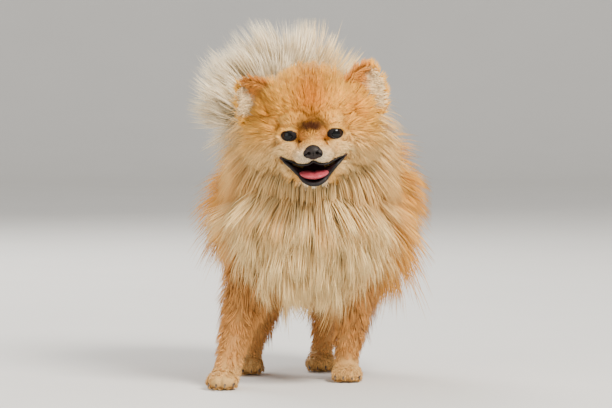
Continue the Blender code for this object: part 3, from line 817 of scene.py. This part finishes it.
def mouth_gap(places):
    """How far places are from the edge of the mouth, in millimetres."""
    x, z, y = mouth_flat(places)
    corners = mouth_outline()
    edge = np.array(denser(corners + corners[:1], 90))
    gap = np.hypot(x[:, None] - edge[None, :, 0], z[:, None] - edge[None, :, 1]).min(axis=1)
    return gap + 10 * ramp(y, -20, -8)


def near_eye(places, reach):
    """Places on the lids' edges or the eyes, with reach in millimetres around them."""
    h = head_millimetres(places)
    found = np.zeros(len(places), bool)
    for side in (-1, 1):
        x = (h[:, 0] - side * EYE_APART / MM / 2) / (EYE_BARE[0] + reach)
        z = (h[:, 2] - EYE_PLACE.z / MM) / (EYE_BARE[1] + reach)
        found |= (x * x + z * z < 1) & (h[:, 1] < -20)
    return found


def near_nose(places):
    h = head_millimetres(places)
    away = (h - np.array((0, -58, -29.5))) / np.array(NOSE_BARE)
    return (away**2).sum(axis=1) < 1


def unwrap(places, kind):
    """The root's place on an unrolled skin, from 0 to 1 both ways."""
    if kind in (TRUNK, NECK):
        middle, along, wrap = (0.0, 0.0, 0.165), 1, (0, 2)
    elif kind in (LEG, PAW, TAIL):
        middle, along, wrap = places.mean(axis=0), 2, (0, 1)
    else:
        middle, along, wrap = HEAD_CENTRE, 1, (0, 2)
    local = places - np.array(middle)
    turn = np.arctan2(local[:, wrap[1]], local[:, wrap[0]]) / (2 * math.pi) + 0.5
    reach = places[:, along]
    length = (reach - reach.min()) / max(np.ptp(reach), 1e-6)
    return 0.01 + 0.98 * np.stack([turn, length], axis=1)


# Where along a strand its rings are, by how many it has.
RING_SHARES = {2: (0.0, 0.50), 3: (0.0, 0.36, 0.72)}


def ring_width(t):
    """The width of a strand along its length, as a share of its greatest."""
    return np.interp(t, [0.0, 0.25, 0.55, 0.80, 1.0], [0.75, 1.0, 0.78, 0.42, 0.05])


def blade_faces(rings):
    """The triangles of one strand: its closed foot, its sides and its tip."""
    faces = [(2, 1, 0)]
    for ring in range(rings - 1):
        for k in range(3):
            after = (k + 1) % 3
            low, high = 3 * ring, 3 * ring + 3
            faces += [(low + k, low + after, high + after), (low + k, high + after, high + k)]
    tip, low = 3 * rings, 3 * (rings - 1)
    faces += [(low + k, low + (k + 1) % 3, tip) for k in range(3)]
    return np.array(faces)


def strand_mesh(name, start, bend, tip, out, width, thick, root_colour, tip_colour, uv, rings):
    """Joins all strands of one piece of coat into one mesh with its colours and its map of roots."""
    count = len(start)
    per = 3 * rings + 1
    verts = np.empty((count, per, 3))
    shades = np.empty((count, per, 4))
    shades[..., 3] = 1
    map_to = np.empty((count, per, 2))
    for ring, t in enumerate(RING_SHARES[rings]):
        place = start * (1 - t) ** 2 + bend * 2 * t * (1 - t) + tip * t**2
        going = unit((bend - start) * (1 - t) + (tip - bend) * t)
        across = unit(np.cross(going, out))
        ridge = unit(np.cross(across, going))
        half = (width * ring_width(t) / 2)[:, None]
        high = (thick * ring_width(t))[:, None]
        verts[:, 3 * ring] = place - across * half - ridge * high * 0.3
        verts[:, 3 * ring + 1] = place + across * half - ridge * high * 0.3
        verts[:, 3 * ring + 2] = place + ridge * high * 0.7
        share = t**0.7
        for k in range(3):
            shades[:, 3 * ring + k, :3] = root_colour * (1 - share) + tip_colour * share
            map_to[:, 3 * ring + k] = uv + np.array(((k - 1) * ROOT_PATCH / 2, (t - 0.5) * ROOT_PATCH))
    verts[:, -1] = tip
    shades[:, -1, :3] = tip_colour
    map_to[:, -1] = uv + np.array((0, ROOT_PATCH / 2))
    pattern = blade_faces(rings)
    faces = (pattern[None] + (np.arange(count) * per)[:, None, None]).reshape(-1)
    mesh = bpy.data.meshes.new(name)
    mesh.vertices.add(count * per)
    mesh.vertices.foreach_set("co", verts.astype(np.float32).ravel())
    mesh.loops.add(len(faces))
    mesh.loops.foreach_set("vertex_index", faces.astype(np.int32))
    mesh.polygons.add(len(faces) // 3)
    mesh.polygons.foreach_set("loop_start", np.arange(0, len(faces), 3, dtype=np.int32))
    colours = mesh.attributes.new("coat", "FLOAT_COLOR", "POINT")
    colours.data.foreach_set("color", shades.astype(np.float32).ravel())
    layer = mesh.uv_layers.new(name="OFBake")
    layer.data.foreach_set("uv", map_to.reshape(-1, 2)[faces].astype(np.float32).ravel())
    mesh.update(calc_edges=True)
    mesh.validate()
    return linked(name, mesh)


def wander(draw, count, size):
    return draw.normal(0, size, (count, 3))


def room_share(places, tips):
    """The share of each strand's length that keeps its tip within a margin around the solids' box."""
    low = np.array(SOLID_BOX[0]) - np.array(TO_MIDDLE) - BOX_MARGIN
    high = np.array(SOLID_BOX[1]) - np.array(TO_MIDDLE) + BOX_MARGIN
    low[2] = FLOOR_GAP
    going = tips - places
    with np.errstate(divide="ignore", invalid="ignore"):
        above = np.where(going > 1e-9, (high - places) / going, 1.0)
        below = np.where(going < -1e-9, (low - places) / going, 1.0)
    return np.clip(np.minimum(above, below).min(axis=1), 0.25, 1.0)[:, None]


def locks_of(draw, places, per_lock):
    """Some roots chosen as the middles of locks, and for every root the lock that it is nearest to."""
    count = max(len(places) // per_lock, 1)
    lead = draw.choice(len(places), count, replace=False)
    tree = KDTree(count)
    for k, index in enumerate(lead):
        tree.insert(places[index], k)
    tree.balance()
    return lead, np.array([tree.find(place)[1] for place in places])


def coat_piece(name, surface, kind, count, flow, length, seed, where, style):
    """One piece of coat. Its style is one of those named COAT."""
    draw = np.random.default_rng(seed)
    places, out = surface.roots(draw, kind, count, where)
    keep = ~(near_eye(places, 1.2) | near_nose(places) | in_mouth(places, 1.10))
    if kind in (HEAD, JAW):
        keep &= mouth_gap(places) > LIP_BARE
    places, out = places[keep], out[keep]
    count = len(places)
    lead, mine = locks_of(draw, places, style["per_lock"])
    locks = len(lead)

    lie = unit(flow(places, out))
    into = (lie * out).sum(axis=1)
    lie = unit(lie - out * into[:, None])
    lock_turn = wander(draw, locks, style["untidy"] * 1.5)[mine]
    lie = unit(lie + lock_turn + wander(draw, count, style["untidy"] * 0.7))
    lock_size = draw.uniform(0.86, 1.16, locks)[mine]
    size = length(places) * lock_size * draw.uniform(0.86, 1.10, count)
    size *= 1 - 0.75 * ramp(np.abs(into), 0.90, 1.0)
    rise = style["lift"] * draw.uniform(0.84, 1.14, locks)[mine] * draw.uniform(0.88, 1.12, count)
    reach, high = size[:, None], (size * rise)[:, None]

    start = places - out * ROOT_DEPTH
    bend = places + lie * reach * 0.45 + out * high * 0.80
    tip = places + lie * reach * 0.93 + out * (high * 1.15 - style["droop"] * reach)
    bend[:, 2] -= 0.3 * style["sag"] * size
    tip[:, 2] -= style["sag"] * size
    apart = np.linalg.norm(places - places[lead][mine], axis=1)
    pull = (style["pull"] * draw.uniform(0.4, 1.1, count) * ramp(apart, 0.018, 0.009))[:, None]
    bend += (bend[lead][mine] - bend) * pull * 0.35
    tip += (tip[lead][mine] - tip) * pull

    short = room_share(places, tip)
    bend, tip = places + (bend - places) * short, places + (tip - places) * short
    if kind in (HEAD, JAW):
        clear = ~(in_mouth(bend, 0.97) | in_mouth(tip, 0.97) | near_eye(tip, -1.0) | near_nose(tip))
        kept = (places, out, bend, tip, start, size, mine)
        places, out, bend, tip, start, size, mine = (values[clear] for values in kept)
        count = len(places)

    colour = coat_colour(places, np.full(count, kind))
    tone = (draw.uniform(0.88, 1.10, locks)[mine] * draw.uniform(0.86, 1.12, count))[:, None]
    end = style["tips"](places, colour) if "tips" in style else colour
    wide = style["width"] * np.exp(draw.normal(0, 0.35, count))
    wide = np.minimum(wide, size * 0.16)
    # Each strand goes from a darker root, painted shade deep in the coat, to a slightly lighter tip.
    shades = (colour * tone * 0.72, end * tone * 1.04)
    root_map = unwrap(places, kind)
    return strand_mesh(name, start, bend, tip, out, wide, wide * 0.42, *shades, root_map, style["rings"])


# Materials.


def new_material(name):
    made = bpy.data.materials.new(name)
    made.use_nodes = True
    return made, made.node_tree.nodes, made.node_tree.links, made.node_tree.nodes["Principled BSDF"]


def hair_material():
    made, nodes, links, shader = new_material("soft_hair")
    colour = painted(nodes)
    links.new(colour.outputs["Color"], shader.inputs["Base Color"])
    shader.inputs["Roughness"].default_value = 0.60
    shader.inputs["Specular IOR Level"].default_value = 0.16
    return made


def noise(nodes, links, scale):
    """A fine mottle fixed to the object."""
    place = nodes.new("ShaderNodeTexCoord")
    made = nodes.new("ShaderNodeTexNoise")
    made.inputs["Scale"].default_value = scale
    made.inputs["Detail"].default_value = 3.0
    links.new(place.outputs["Object"], made.inputs["Vector"])
    return made


def add_relief(nodes, links, shader, grain, strength, depth):
    bump = nodes.new("ShaderNodeBump")
    bump.inputs["Strength"].default_value = strength
    bump.inputs["Distance"].default_value = depth
    links.new(grain.outputs["Fac"], bump.inputs["Height"])
    links.new(bump.outputs["Normal"], shader.inputs["Normal"])


def painted(nodes):
    """The colours that were painted on the points of the mesh."""
    made = nodes.new("ShaderNodeAttribute")
    made.attribute_name = "coat"
    return made


def skin_material():
    """Skin with the same markings as the coat, and a nap of the finest hair as bump."""
    made, nodes, links, shader = new_material("skin_under_coat")
    colour = painted(nodes)
    grain = noise(nodes, links, 900.0)
    mix = nodes.new("ShaderNodeMix")
    mix.data_type = "RGBA"
    mix.blend_type = "MULTIPLY"
    mix.inputs["Factor"].default_value = 0.5
    links.new(colour.outputs["Color"], mix.inputs[6])
    links.new(grain.outputs["Fac"], mix.inputs[7])
    links.new(mix.outputs[2], shader.inputs["Base Color"])
    add_relief(nodes, links, shader, grain, 0.5, 0.0006)
    shader.inputs["Roughness"].default_value = 0.7
    shader.inputs["Specular IOR Level"].default_value = 0.2
    return made


def wet_material(name, dark, light, scale, roughness, bump_depth, coat=0.0):
    """A moist surface that varies a little between two colours, with a fine relief."""
    made, nodes, links, shader = new_material(name)
    grain = noise(nodes, links, scale)
    band = nodes.new("ShaderNodeValToRGB")
    band.color_ramp.elements[0].position = 0.35
    band.color_ramp.elements[0].color = (*dark, 1)
    band.color_ramp.elements[1].position = 0.65
    band.color_ramp.elements[1].color = (*light, 1)
    links.new(grain.outputs["Fac"], band.inputs["Fac"])
    links.new(band.outputs["Color"], shader.inputs["Base Color"])
    add_relief(nodes, links, shader, grain, 0.6, bump_depth)
    shader.inputs["Roughness"].default_value = roughness
    shader.inputs["Specular IOR Level"].default_value = 0.3
    shader.inputs["Coat Weight"].default_value = coat
    shader.inputs["Coat Roughness"].default_value = 0.08
    return made


def eye_material():
    """A clear wet surface over the colours painted on the eyeball."""
    made, nodes, links, shader = new_material("eye")
    colour = painted(nodes)
    links.new(colour.outputs["Color"], shader.inputs["Base Color"])
    shader.inputs["Roughness"].default_value = 0.06
    shader.inputs["Specular IOR Level"].default_value = 0.22
    return made


def floor_material():
    made, nodes, links, shader = new_material("studio_floor")
    grain = noise(nodes, links, 6.0)
    band = nodes.new("ShaderNodeValToRGB")
    band.color_ramp.elements[0].color = (0.70, 0.69, 0.67, 1)
    band.color_ramp.elements[1].color = (0.74, 0.73, 0.71, 1)
    links.new(grain.outputs["Fac"], band.inputs["Fac"])
    links.new(band.outputs["Color"], shader.inputs["Base Color"])
    shader.inputs["Roughness"].default_value = 0.9
    return made


def paint_points(obj, colours):
    layer = obj.data.attributes.new("coat", "FLOAT_COLOR", "POINT")
    full = np.ones((len(obj.data.vertices), 4), np.float32)
    full[:, :3] = colours
    layer.data.foreach_set("color", full.ravel())


# Face pieces.


def in_head(obj):
    obj.data.transform(head_place())
    return obj


def make_eye(side):
    bm = bmesh.new()
    add_ball(bm, (0, 0, 0), [EYE_RADIUS] * 3, (90, 0, 0), sides=48)
    name = "eye_left" if side > 0 else "eye_right"
    obj = object_of(name + "_ball", bm)
    gaze = Vector((side * 0.10, -1, -0.02)).normalized()
    away = np.degrees(np.arccos(np.clip(unit(points_of(obj)) @ np.array(gaze), -1, 1)))
    stops = [0, 31, 34, 44, 50, 58, 180]
    shades = np.array([
        (0.003, 0.003, 0.003),
        (0.003, 0.003, 0.003),
        (0.016, 0.007, 0.003),
        (0.030, 0.013, 0.005),
        (0.012, 0.006, 0.004),
        (0.030, 0.022, 0.018),
        (0.030, 0.022, 0.018),
    ])
    paint_points(obj, np.stack([np.interp(away, stops, shades[:, k]) for k in range(3)], axis=1))
    obj.data.transform(Matrix.Translation(eye_centre(side)))
    return in_head(obj), name


def make_lid(side):
    """The dark rim of the two lids, drawn on the eyeball."""
    turn_out = Matrix.Rotation(side * EYE_TURN, 3, "Z")
    shell = EYE_RADIUS + 0.0005
    line = []
    for x, z in almond(side, *LID_LINE):
        line.append(eye_centre(side) + turn_out @ Vector((x, -math.sqrt(shell**2 - x * x - z * z), z)))
    return in_head(tube("lid_rim_left" if side > 0 else "lid_rim_right", line, 0.0008, closed=True))


def nose_ball(bm, away, radii, tilt=(0, 0, 0), sides=20):
    add_ball(bm, NOSE_PLACE + Vector(away), radii, tilt, sides)


def make_nose():
    """The leather with its two wings, cut by the nostrils, their slits and the groove between them."""
    bm = bmesh.new()
    nose_ball(bm, (0, 0, 0), NOSE_RADII, sides=40)
    for side in (-1, 1):
        nose_ball(bm, (side * 0.0048, -0.0020, -0.0010), (0.0040, 0.0044, 0.0042), sides=24)
    obj = melt("nose_leather", bm, grain=0.00045, rounds=4)
    cuts = []
    for side in (-1, 1):
        bm = bmesh.new()
        nose_ball(bm, (side * 0.0037, -0.0062, -0.0008), (0.0018, 0.0032, 0.0016))
        cuts.append(object_of("hole", bm))
        bm = bmesh.new()
        nose_ball(bm, (side * 0.0068, -0.0045, -0.0020), (0.0028, 0.0026, 0.0007), (0, side * 25, 0))
        cuts.append(object_of("slit", bm))
    bm = bmesh.new()
    nose_ball(bm, (0, -0.0066, -0.0030), (0.00045, 0.0016, 0.0044), sides=16)
    cuts.append(object_of("groove", bm))
    boolean(obj, cuts, "DIFFERENCE")
    return in_head(obj)


def make_tongue():
    """A flat tongue with a groove down its middle, which lies over the lower lip."""
    bm = bmesh.new()
    bmesh.ops.create_uvsphere(bm, u_segments=48, v_segments=32, radius=1)
    for vert in bm.verts:
        x, y, z = vert.co
        x = math.copysign(abs(x) ** 0.8, x)
        groove = 0.0010 * math.exp(-((x / 0.16) ** 2)) * (1 if z > 0 else 0.2)
        ahead = (1 - y) / 2
        lobes = 0.0010 * math.exp(-((x / 0.2) ** 2)) * max(-y, 0) ** 3
        middle = -0.0493 - 0.0026 * ahead**2.2
        high = middle + 0.0034 * z + 0.0016 * abs(x) ** 2 - groove
        vert.co = Vector((0.0130 * x, -0.0365 + 0.0150 * y + lobes, high))
    bmesh.ops.recalc_face_normals(bm, faces=bm.faces)
    return in_head(object_of("tongue_flesh", bm))


def lip_line(places, points):
    """Points on the foremost edge of the skin around the mouth."""
    h = head_millimetres(places)
    depths = []
    for x, z in points:
        near = np.hypot(h[:, 0] - x, h[:, 2] - z) < 1.5
        depths.append(h[near, 1].min() if near.any() else np.nan)
    depths = np.array(depths)
    found = ~np.isnan(depths)
    depths = np.interp(np.arange(len(depths)), np.flatnonzero(found), depths[found])
    for _ in range(2):
        depths[1:-1] = (depths[:-2] + 2 * depths[1:-1] + depths[2:]) / 4
    return [Vector((x, y, z)) * MM for (x, z), y in zip(points, depths)]


def denser(points, count):
    rows = [smooth_row(points, k / (count - 1)) for k in range(count)]
    return [(float(x), float(z)) for x, z in rows]


def both_sides(right):
    """A line across the face from its right half, whose last point is in the middle."""
    return right + [(-x, z) for x, z in reversed(right[:-1])]


def make_lips(places):
    upper = [(-28.6, -33.6), (-24, -35.6), (-15.5, -39.4), (-9, -40.6), (-4, -39.8), (0, -38.0)]
    lower = [(-28.2, -34.2), (-25.6, -37.6), (-19.7, -43.0), (-13.6, -49.6), (-9.7, -54.2)]
    lower += [(-4.8, -57.2), (0, -58.1)]
    pieces = []
    for name, right, radius in (("lip_upper", upper, 0.0010), ("lip_lower", lower, 0.0021)):
        line = lip_line(places, denser(both_sides(right), 61))
        pieces.append(in_head(tube(name, line, radius, taper=LIP_TAPER)))
    return pieces


def make_claws():
    bm = bmesh.new()
    lean = Matrix.Rotation(math.radians(115), 4, "X")
    for _, place, heading in LEGS.values():
        at = Matrix.Translation((*place, 0)) @ Matrix.Rotation(math.radians(heading), 4, "Z")
        for across, ahead in CLAWS:
            claw_at = at @ Matrix.Translation((across, ahead, 0.0050)) @ lean
            bmesh.ops.create_cone(
                bm, cap_ends=True, segments=12, radius1=0.0013, radius2=0.0004, depth=0.0072, matrix=claw_at
            )
    return object_of("claws", bm)


# Studio.


def make_studio():
    """A pale floor that bends up into a backdrop."""
    bm = bmesh.new()
    profile = ((-HALF_FLOOR, 0), (BACKDROP_AT, 0), (BACKDROP_AT, BACKDROP_TOP))
    line = [bm.verts.new((-HALF_FLOOR, y, z)) for y, z in profile]
    edges = [bm.edges.new(pair) for pair in zip(line, line[1:])]
    made = bmesh.ops.extrude_edge_only(bm, edges=edges)
    far = [item for item in made["geom"] if isinstance(item, bmesh.types.BMVert)]
    bmesh.ops.translate(bm, vec=(2 * HALF_FLOOR, 0, 0), verts=far)
    in_corner = {vert for vert in bm.verts if abs(vert.co.y - BACKDROP_AT) < 1e-6 and abs(vert.co.z) < 1e-6}
    corner = [edge for edge in bm.edges if set(edge.verts) <= in_corner]
    bmesh.ops.bevel(
        bm, geom=corner, offset=BACKDROP_BEND, affect="EDGES", segments=24, profile=0.5, material=-1
    )
    bmesh.ops.recalc_face_normals(bm, faces=bm.faces)
    floor = object_of("floor", bm)
    smooth_faces(floor)
    floor.data.materials.append(floor_material())


def add_area(name, place, aim, size, power, colour):
    light = bpy.data.lights.new(name, "AREA")
    light.shape = "SQUARE"
    light.size = size
    light.energy = power
    light.color = colour
    obj = linked(name, light)
    obj.location = place
    obj.rotation_euler = (Vector(aim) - Vector(place)).to_track_quat("-Z", "Y").to_euler()


def make_light_and_camera():
    world = bpy.data.worlds.new("studio")
    world.use_nodes = True
    sky = world.node_tree.nodes["Background"]
    sky.inputs["Color"].default_value = (1.0, 0.98, 0.95, 1)
    sky.inputs["Strength"].default_value = 0.68
    bpy.context.scene.world = world
    add_area("key", (1.3, -1.9, 2.3), (0, 0, 0.17), 1.1, 190, (1.0, 0.95, 0.86))
    add_area("fill", (-2.2, -2.4, 1.0), (0, 0, 0.15), 2.0, 34, (1.0, 0.98, 0.95))
    add_area("back", (-0.8, 2.0, 1.7), (0, 0, 0.2), 1.2, 60, (1.0, 0.97, 0.92))
    camera = bpy.data.cameras.new("camera")
    camera.lens = CAMERA_LENS
    camera.sensor_width = 36
    camera.clip_end = 50
    obj = linked("camera", camera)
    obj.location = CAMERA_PLACE
    obj.rotation_euler = (CAMERA_TILT, 0, 0)
    bpy.context.scene.camera = obj


# The whole dog.


def gold_tips(places, colour):
    """The ruff's colour at the tips of its hair, deeper gold at the sides."""
    return over(colour, TIP_GOLD, 0.55 + 0.25 * ramp(np.abs(places[:, 0]), 0.03, 0.06))


def right_side(middles):
    return middles[:, 0] < 0


def left_side(middles):
    return middles[:, 0] >= 0


def in_front(middles):
    """The part of the head in front of the ears, where the coat is short."""
    return head_millimetres(middles)[:, 1] < EAR_LINE


def face_right(middles):
    return right_side(middles) & in_front(middles)


def face_left(middles):
    return left_side(middles) & in_front(middles)


def crown_right(middles):
    return right_side(middles) & ~in_front(middles)


def crown_left(middles):
    return left_side(middles) & ~in_front(middles)


def chest(middles):
    return middles[:, 1] < CHEST_LINE


def flank_right(middles):
    return right_side(middles) & ~chest(middles)


def flank_left(middles):
    return left_side(middles) & ~chest(middles)


def chin_length(places):
    return 0.0055 + 0.005 * ramp(np.abs(places[:, 0]), 0.010, 0.020)


def around_leg(name):
    """Which faces are one leg's own: those near its middle and on its side of the body."""
    middle = np.array(LEGS[name][0])[:, :2].mean(axis=0)

    def chosen(middles):
        near = (np.abs(middles[:, :2] - middle) < LEG_REACH).all(axis=1)
        return near & (np.sign(middles[:, 0]) == np.sign(middle[0]))

    return chosen


def leg_hair(surface):
    """The length of the legs' hair, by the outward direction of the skin's nearest point."""
    tree = KDTree(len(surface.places))
    for k, place in enumerate(surface.places):
        tree.insert(place, k)
    tree.balance()

    def found(places):
        nearest = np.array([tree.find(place)[1] for place in places])
        return leg_length(places, surface.normals[nearest])

    return found


def always(size):
    return lambda places: np.full(len(places), size)


# How each kind of coat grows: the width of a strand in metres, how far it rises from the skin and how far it
# droops as shares of its length, its rings, how far it is drawn to the middle of its lock, strands per lock,
# how untidily they lie, and how far they sag straight down.
FACE_COAT = dict(width=0.0007, lift=0.26, droop=0.03, rings=2, pull=0.14, per_lock=10, untidy=0.06, sag=0)
CROWN_COAT = dict(width=0.0008, lift=0.32, droop=0.04, rings=2, pull=0.20, per_lock=16, untidy=0.08, sag=0)
CHIN_COAT = dict(width=0.0007, lift=0.30, droop=0.05, rings=2, pull=0.20, per_lock=10, untidy=0.10, sag=0)
RUFF_COAT = dict(width=0.0009, lift=0.44, droop=0.12, rings=3, pull=0.34, per_lock=26, untidy=0.09, sag=0.14)
CHEST_COAT = dict(width=0.0009, lift=0.38, droop=0.10, rings=3, pull=0.36, per_lock=24, untidy=0.12, sag=0.03)
FLANK_COAT = dict(width=0.0010, lift=0.47, droop=0.12, rings=3, pull=0.32, per_lock=26, untidy=0.08, sag=0.10)
TAIL_COAT = dict(width=0.0011, lift=0.42, droop=-0.08, rings=3, pull=0.50, per_lock=40, untidy=0.12, sag=0)
EAR_COAT = dict(width=0.0007, lift=0.26, droop=0.02, rings=2, pull=0.18, per_lock=12, untidy=0.07, sag=0)
LEG_COAT = dict(width=0.0009, lift=0.30, droop=0.04, rings=2, pull=0.40, per_lock=14, untidy=0.09, sag=0)
PAW_COAT = dict(width=0.0008, lift=0.28, droop=0.06, rings=2, pull=0.35, per_lock=12, untidy=0.09, sag=0)
RUFF_COAT |= dict(tips=gold_tips)
PAW_HAIR = 0.0048


def coat_rows(surface):
    """Name, kind of skin, strands, lie, length, seed, which faces it grows on, and how."""
    head, neck = (HEAD, head_flow, head_length), (NECK, neck_flow, neck_length)
    trunk = (TRUNK, trunk_flow, trunk_length)
    rows = []
    for name, (kind, flow, length), count, where, style in (
        ("coat_face_right", head, 15000, face_right, FACE_COAT),
        ("coat_face_left", head, 15000, face_left, FACE_COAT),
        ("coat_crown_right", head, 10200, crown_right, CROWN_COAT),
        ("coat_crown_left", head, 10200, crown_left, CROWN_COAT),
        ("coat_chin", (JAW, jaw_flow, chin_length), 3500, None, CHIN_COAT),
        ("coat_ruff_right", neck, 7500, right_side, RUFF_COAT),
        ("coat_ruff_left", neck, 7500, left_side, RUFF_COAT),
        ("coat_chest", trunk, 6500, chest, CHEST_COAT),
        ("coat_trunk_right", trunk, 7500, flank_right, FLANK_COAT),
        ("coat_trunk_left", trunk, 7500, flank_left, FLANK_COAT),
        ("coat_tail", (TAIL, tail_flow, tail_length), 9300, None, TAIL_COAT),
    ):
        rows.append((name, kind, count, flow, length, len(name) * 7 + kind, where, style))
    for name, kind, count, size in (
        ("coat_ear_inside", EAR_INSIDE, 2600, 0.0070),
        ("coat_ear_back", EAR_BACK, 4800, 0.0115),
    ):
        flow = partial(ear_flow, kind=kind)
        rows.append((name, kind, count, flow, always(size), 91 + kind, None, EAR_COAT))
    shank_hair = leg_hair(surface)
    for name in LEGS:
        own = around_leg(name)
        rows.append(("coat_" + name, LEG, 2900, leg_flow, shank_hair, 131 + len(name), own, LEG_COAT))
        paw = "coat_paw_" + name.removeprefix("leg_")
        rows.append((paw, PAW, 1500, paw_flow, always(PAW_HAIR), 151 + len(name), own, PAW_COAT))
    return rows


def make_coat(surface, hair):
    for name, kind, count, flow, length, seed, where, style in coat_rows(surface):
        obj = coat_piece(name, surface, kind, count, flow, length, seed, where, style)
        finish_piece(obj, hair)


def paint_skin(skin, surface, kinds):
    """The coat's colours on the skin, black on lips and lids, and painted shade in the open mouth: black on
    its walls, going to a shaded dark red deeper in.
    """
    shades = coat_colour(surface.places, kinds) * 0.8
    h = head_millimetres(surface.places)
    lips = (mouth_gap(surface.places) < LIP_BARE) & (h[:, 1] < -16)
    # The mouth's walls are painted black: the lips' own black, and painted shade further in. Deeper in they
    # turn to the throat's red, darkened as painted shade.
    walls = in_mouth(surface.places, 1.02) | lips
    depth = ramp(h[:, 1], -48, -26)[walls]
    shades[walls] = over(np.tile(LIP_BLACK_AND_MOUTH_SHADE, (walls.sum(), 1)), SHADED_THROAT_RED, depth * 0.8)
    shades = np.where(near_eye(surface.places, 0.6)[:, None], LIP_BLACK_AND_MOUTH_SHADE, shades)
    paint_points(skin, shades)


def main():
    skin, kinds = make_skin()
    surface = Surface(skin, kinds)
    paint_skin(skin, surface, kinds)
    make_coat(surface, hair_material())
    flesh = ("head", "jaw", "neck", "torso", "tail", "ear_left", "ear_right", *LEGS)
    finish_piece(skin, skin_material(), flesh)
    black = wet_material("nose_leather", NOSE_DARK, NOSE_LIGHT, 900, 0.60, 0.0004, coat=0.03)
    lip = wet_material("black_lip", LIP_DARK, LIP_LIGHT, 600, 0.60, 0.0002, coat=0.03)
    pink = wet_material("tongue", TONGUE_DARK, TONGUE_LIGHT, 700, 0.45, 0.0004, coat=0.10)
    horn = wet_material("claw_horn", CLAW_DARK, CLAW_LIGHT, 300, 0.4, 0.0002)
    eyes = eye_material()
    for side in (-1, 1):
        ball, node = make_eye(side)
        finish_piece(ball, eyes, (node,))
        finish_piece(make_lid(side), lip)
    finish_piece(make_nose(), black, ("nose",))
    finish_piece(make_tongue(), pink, ("tongue",))
    for piece in make_lips(surface.places):
        finish_piece(piece, lip)
    finish_piece(make_claws(), horn, smooth=False)
    make_studio()
    make_light_and_camera()


main()
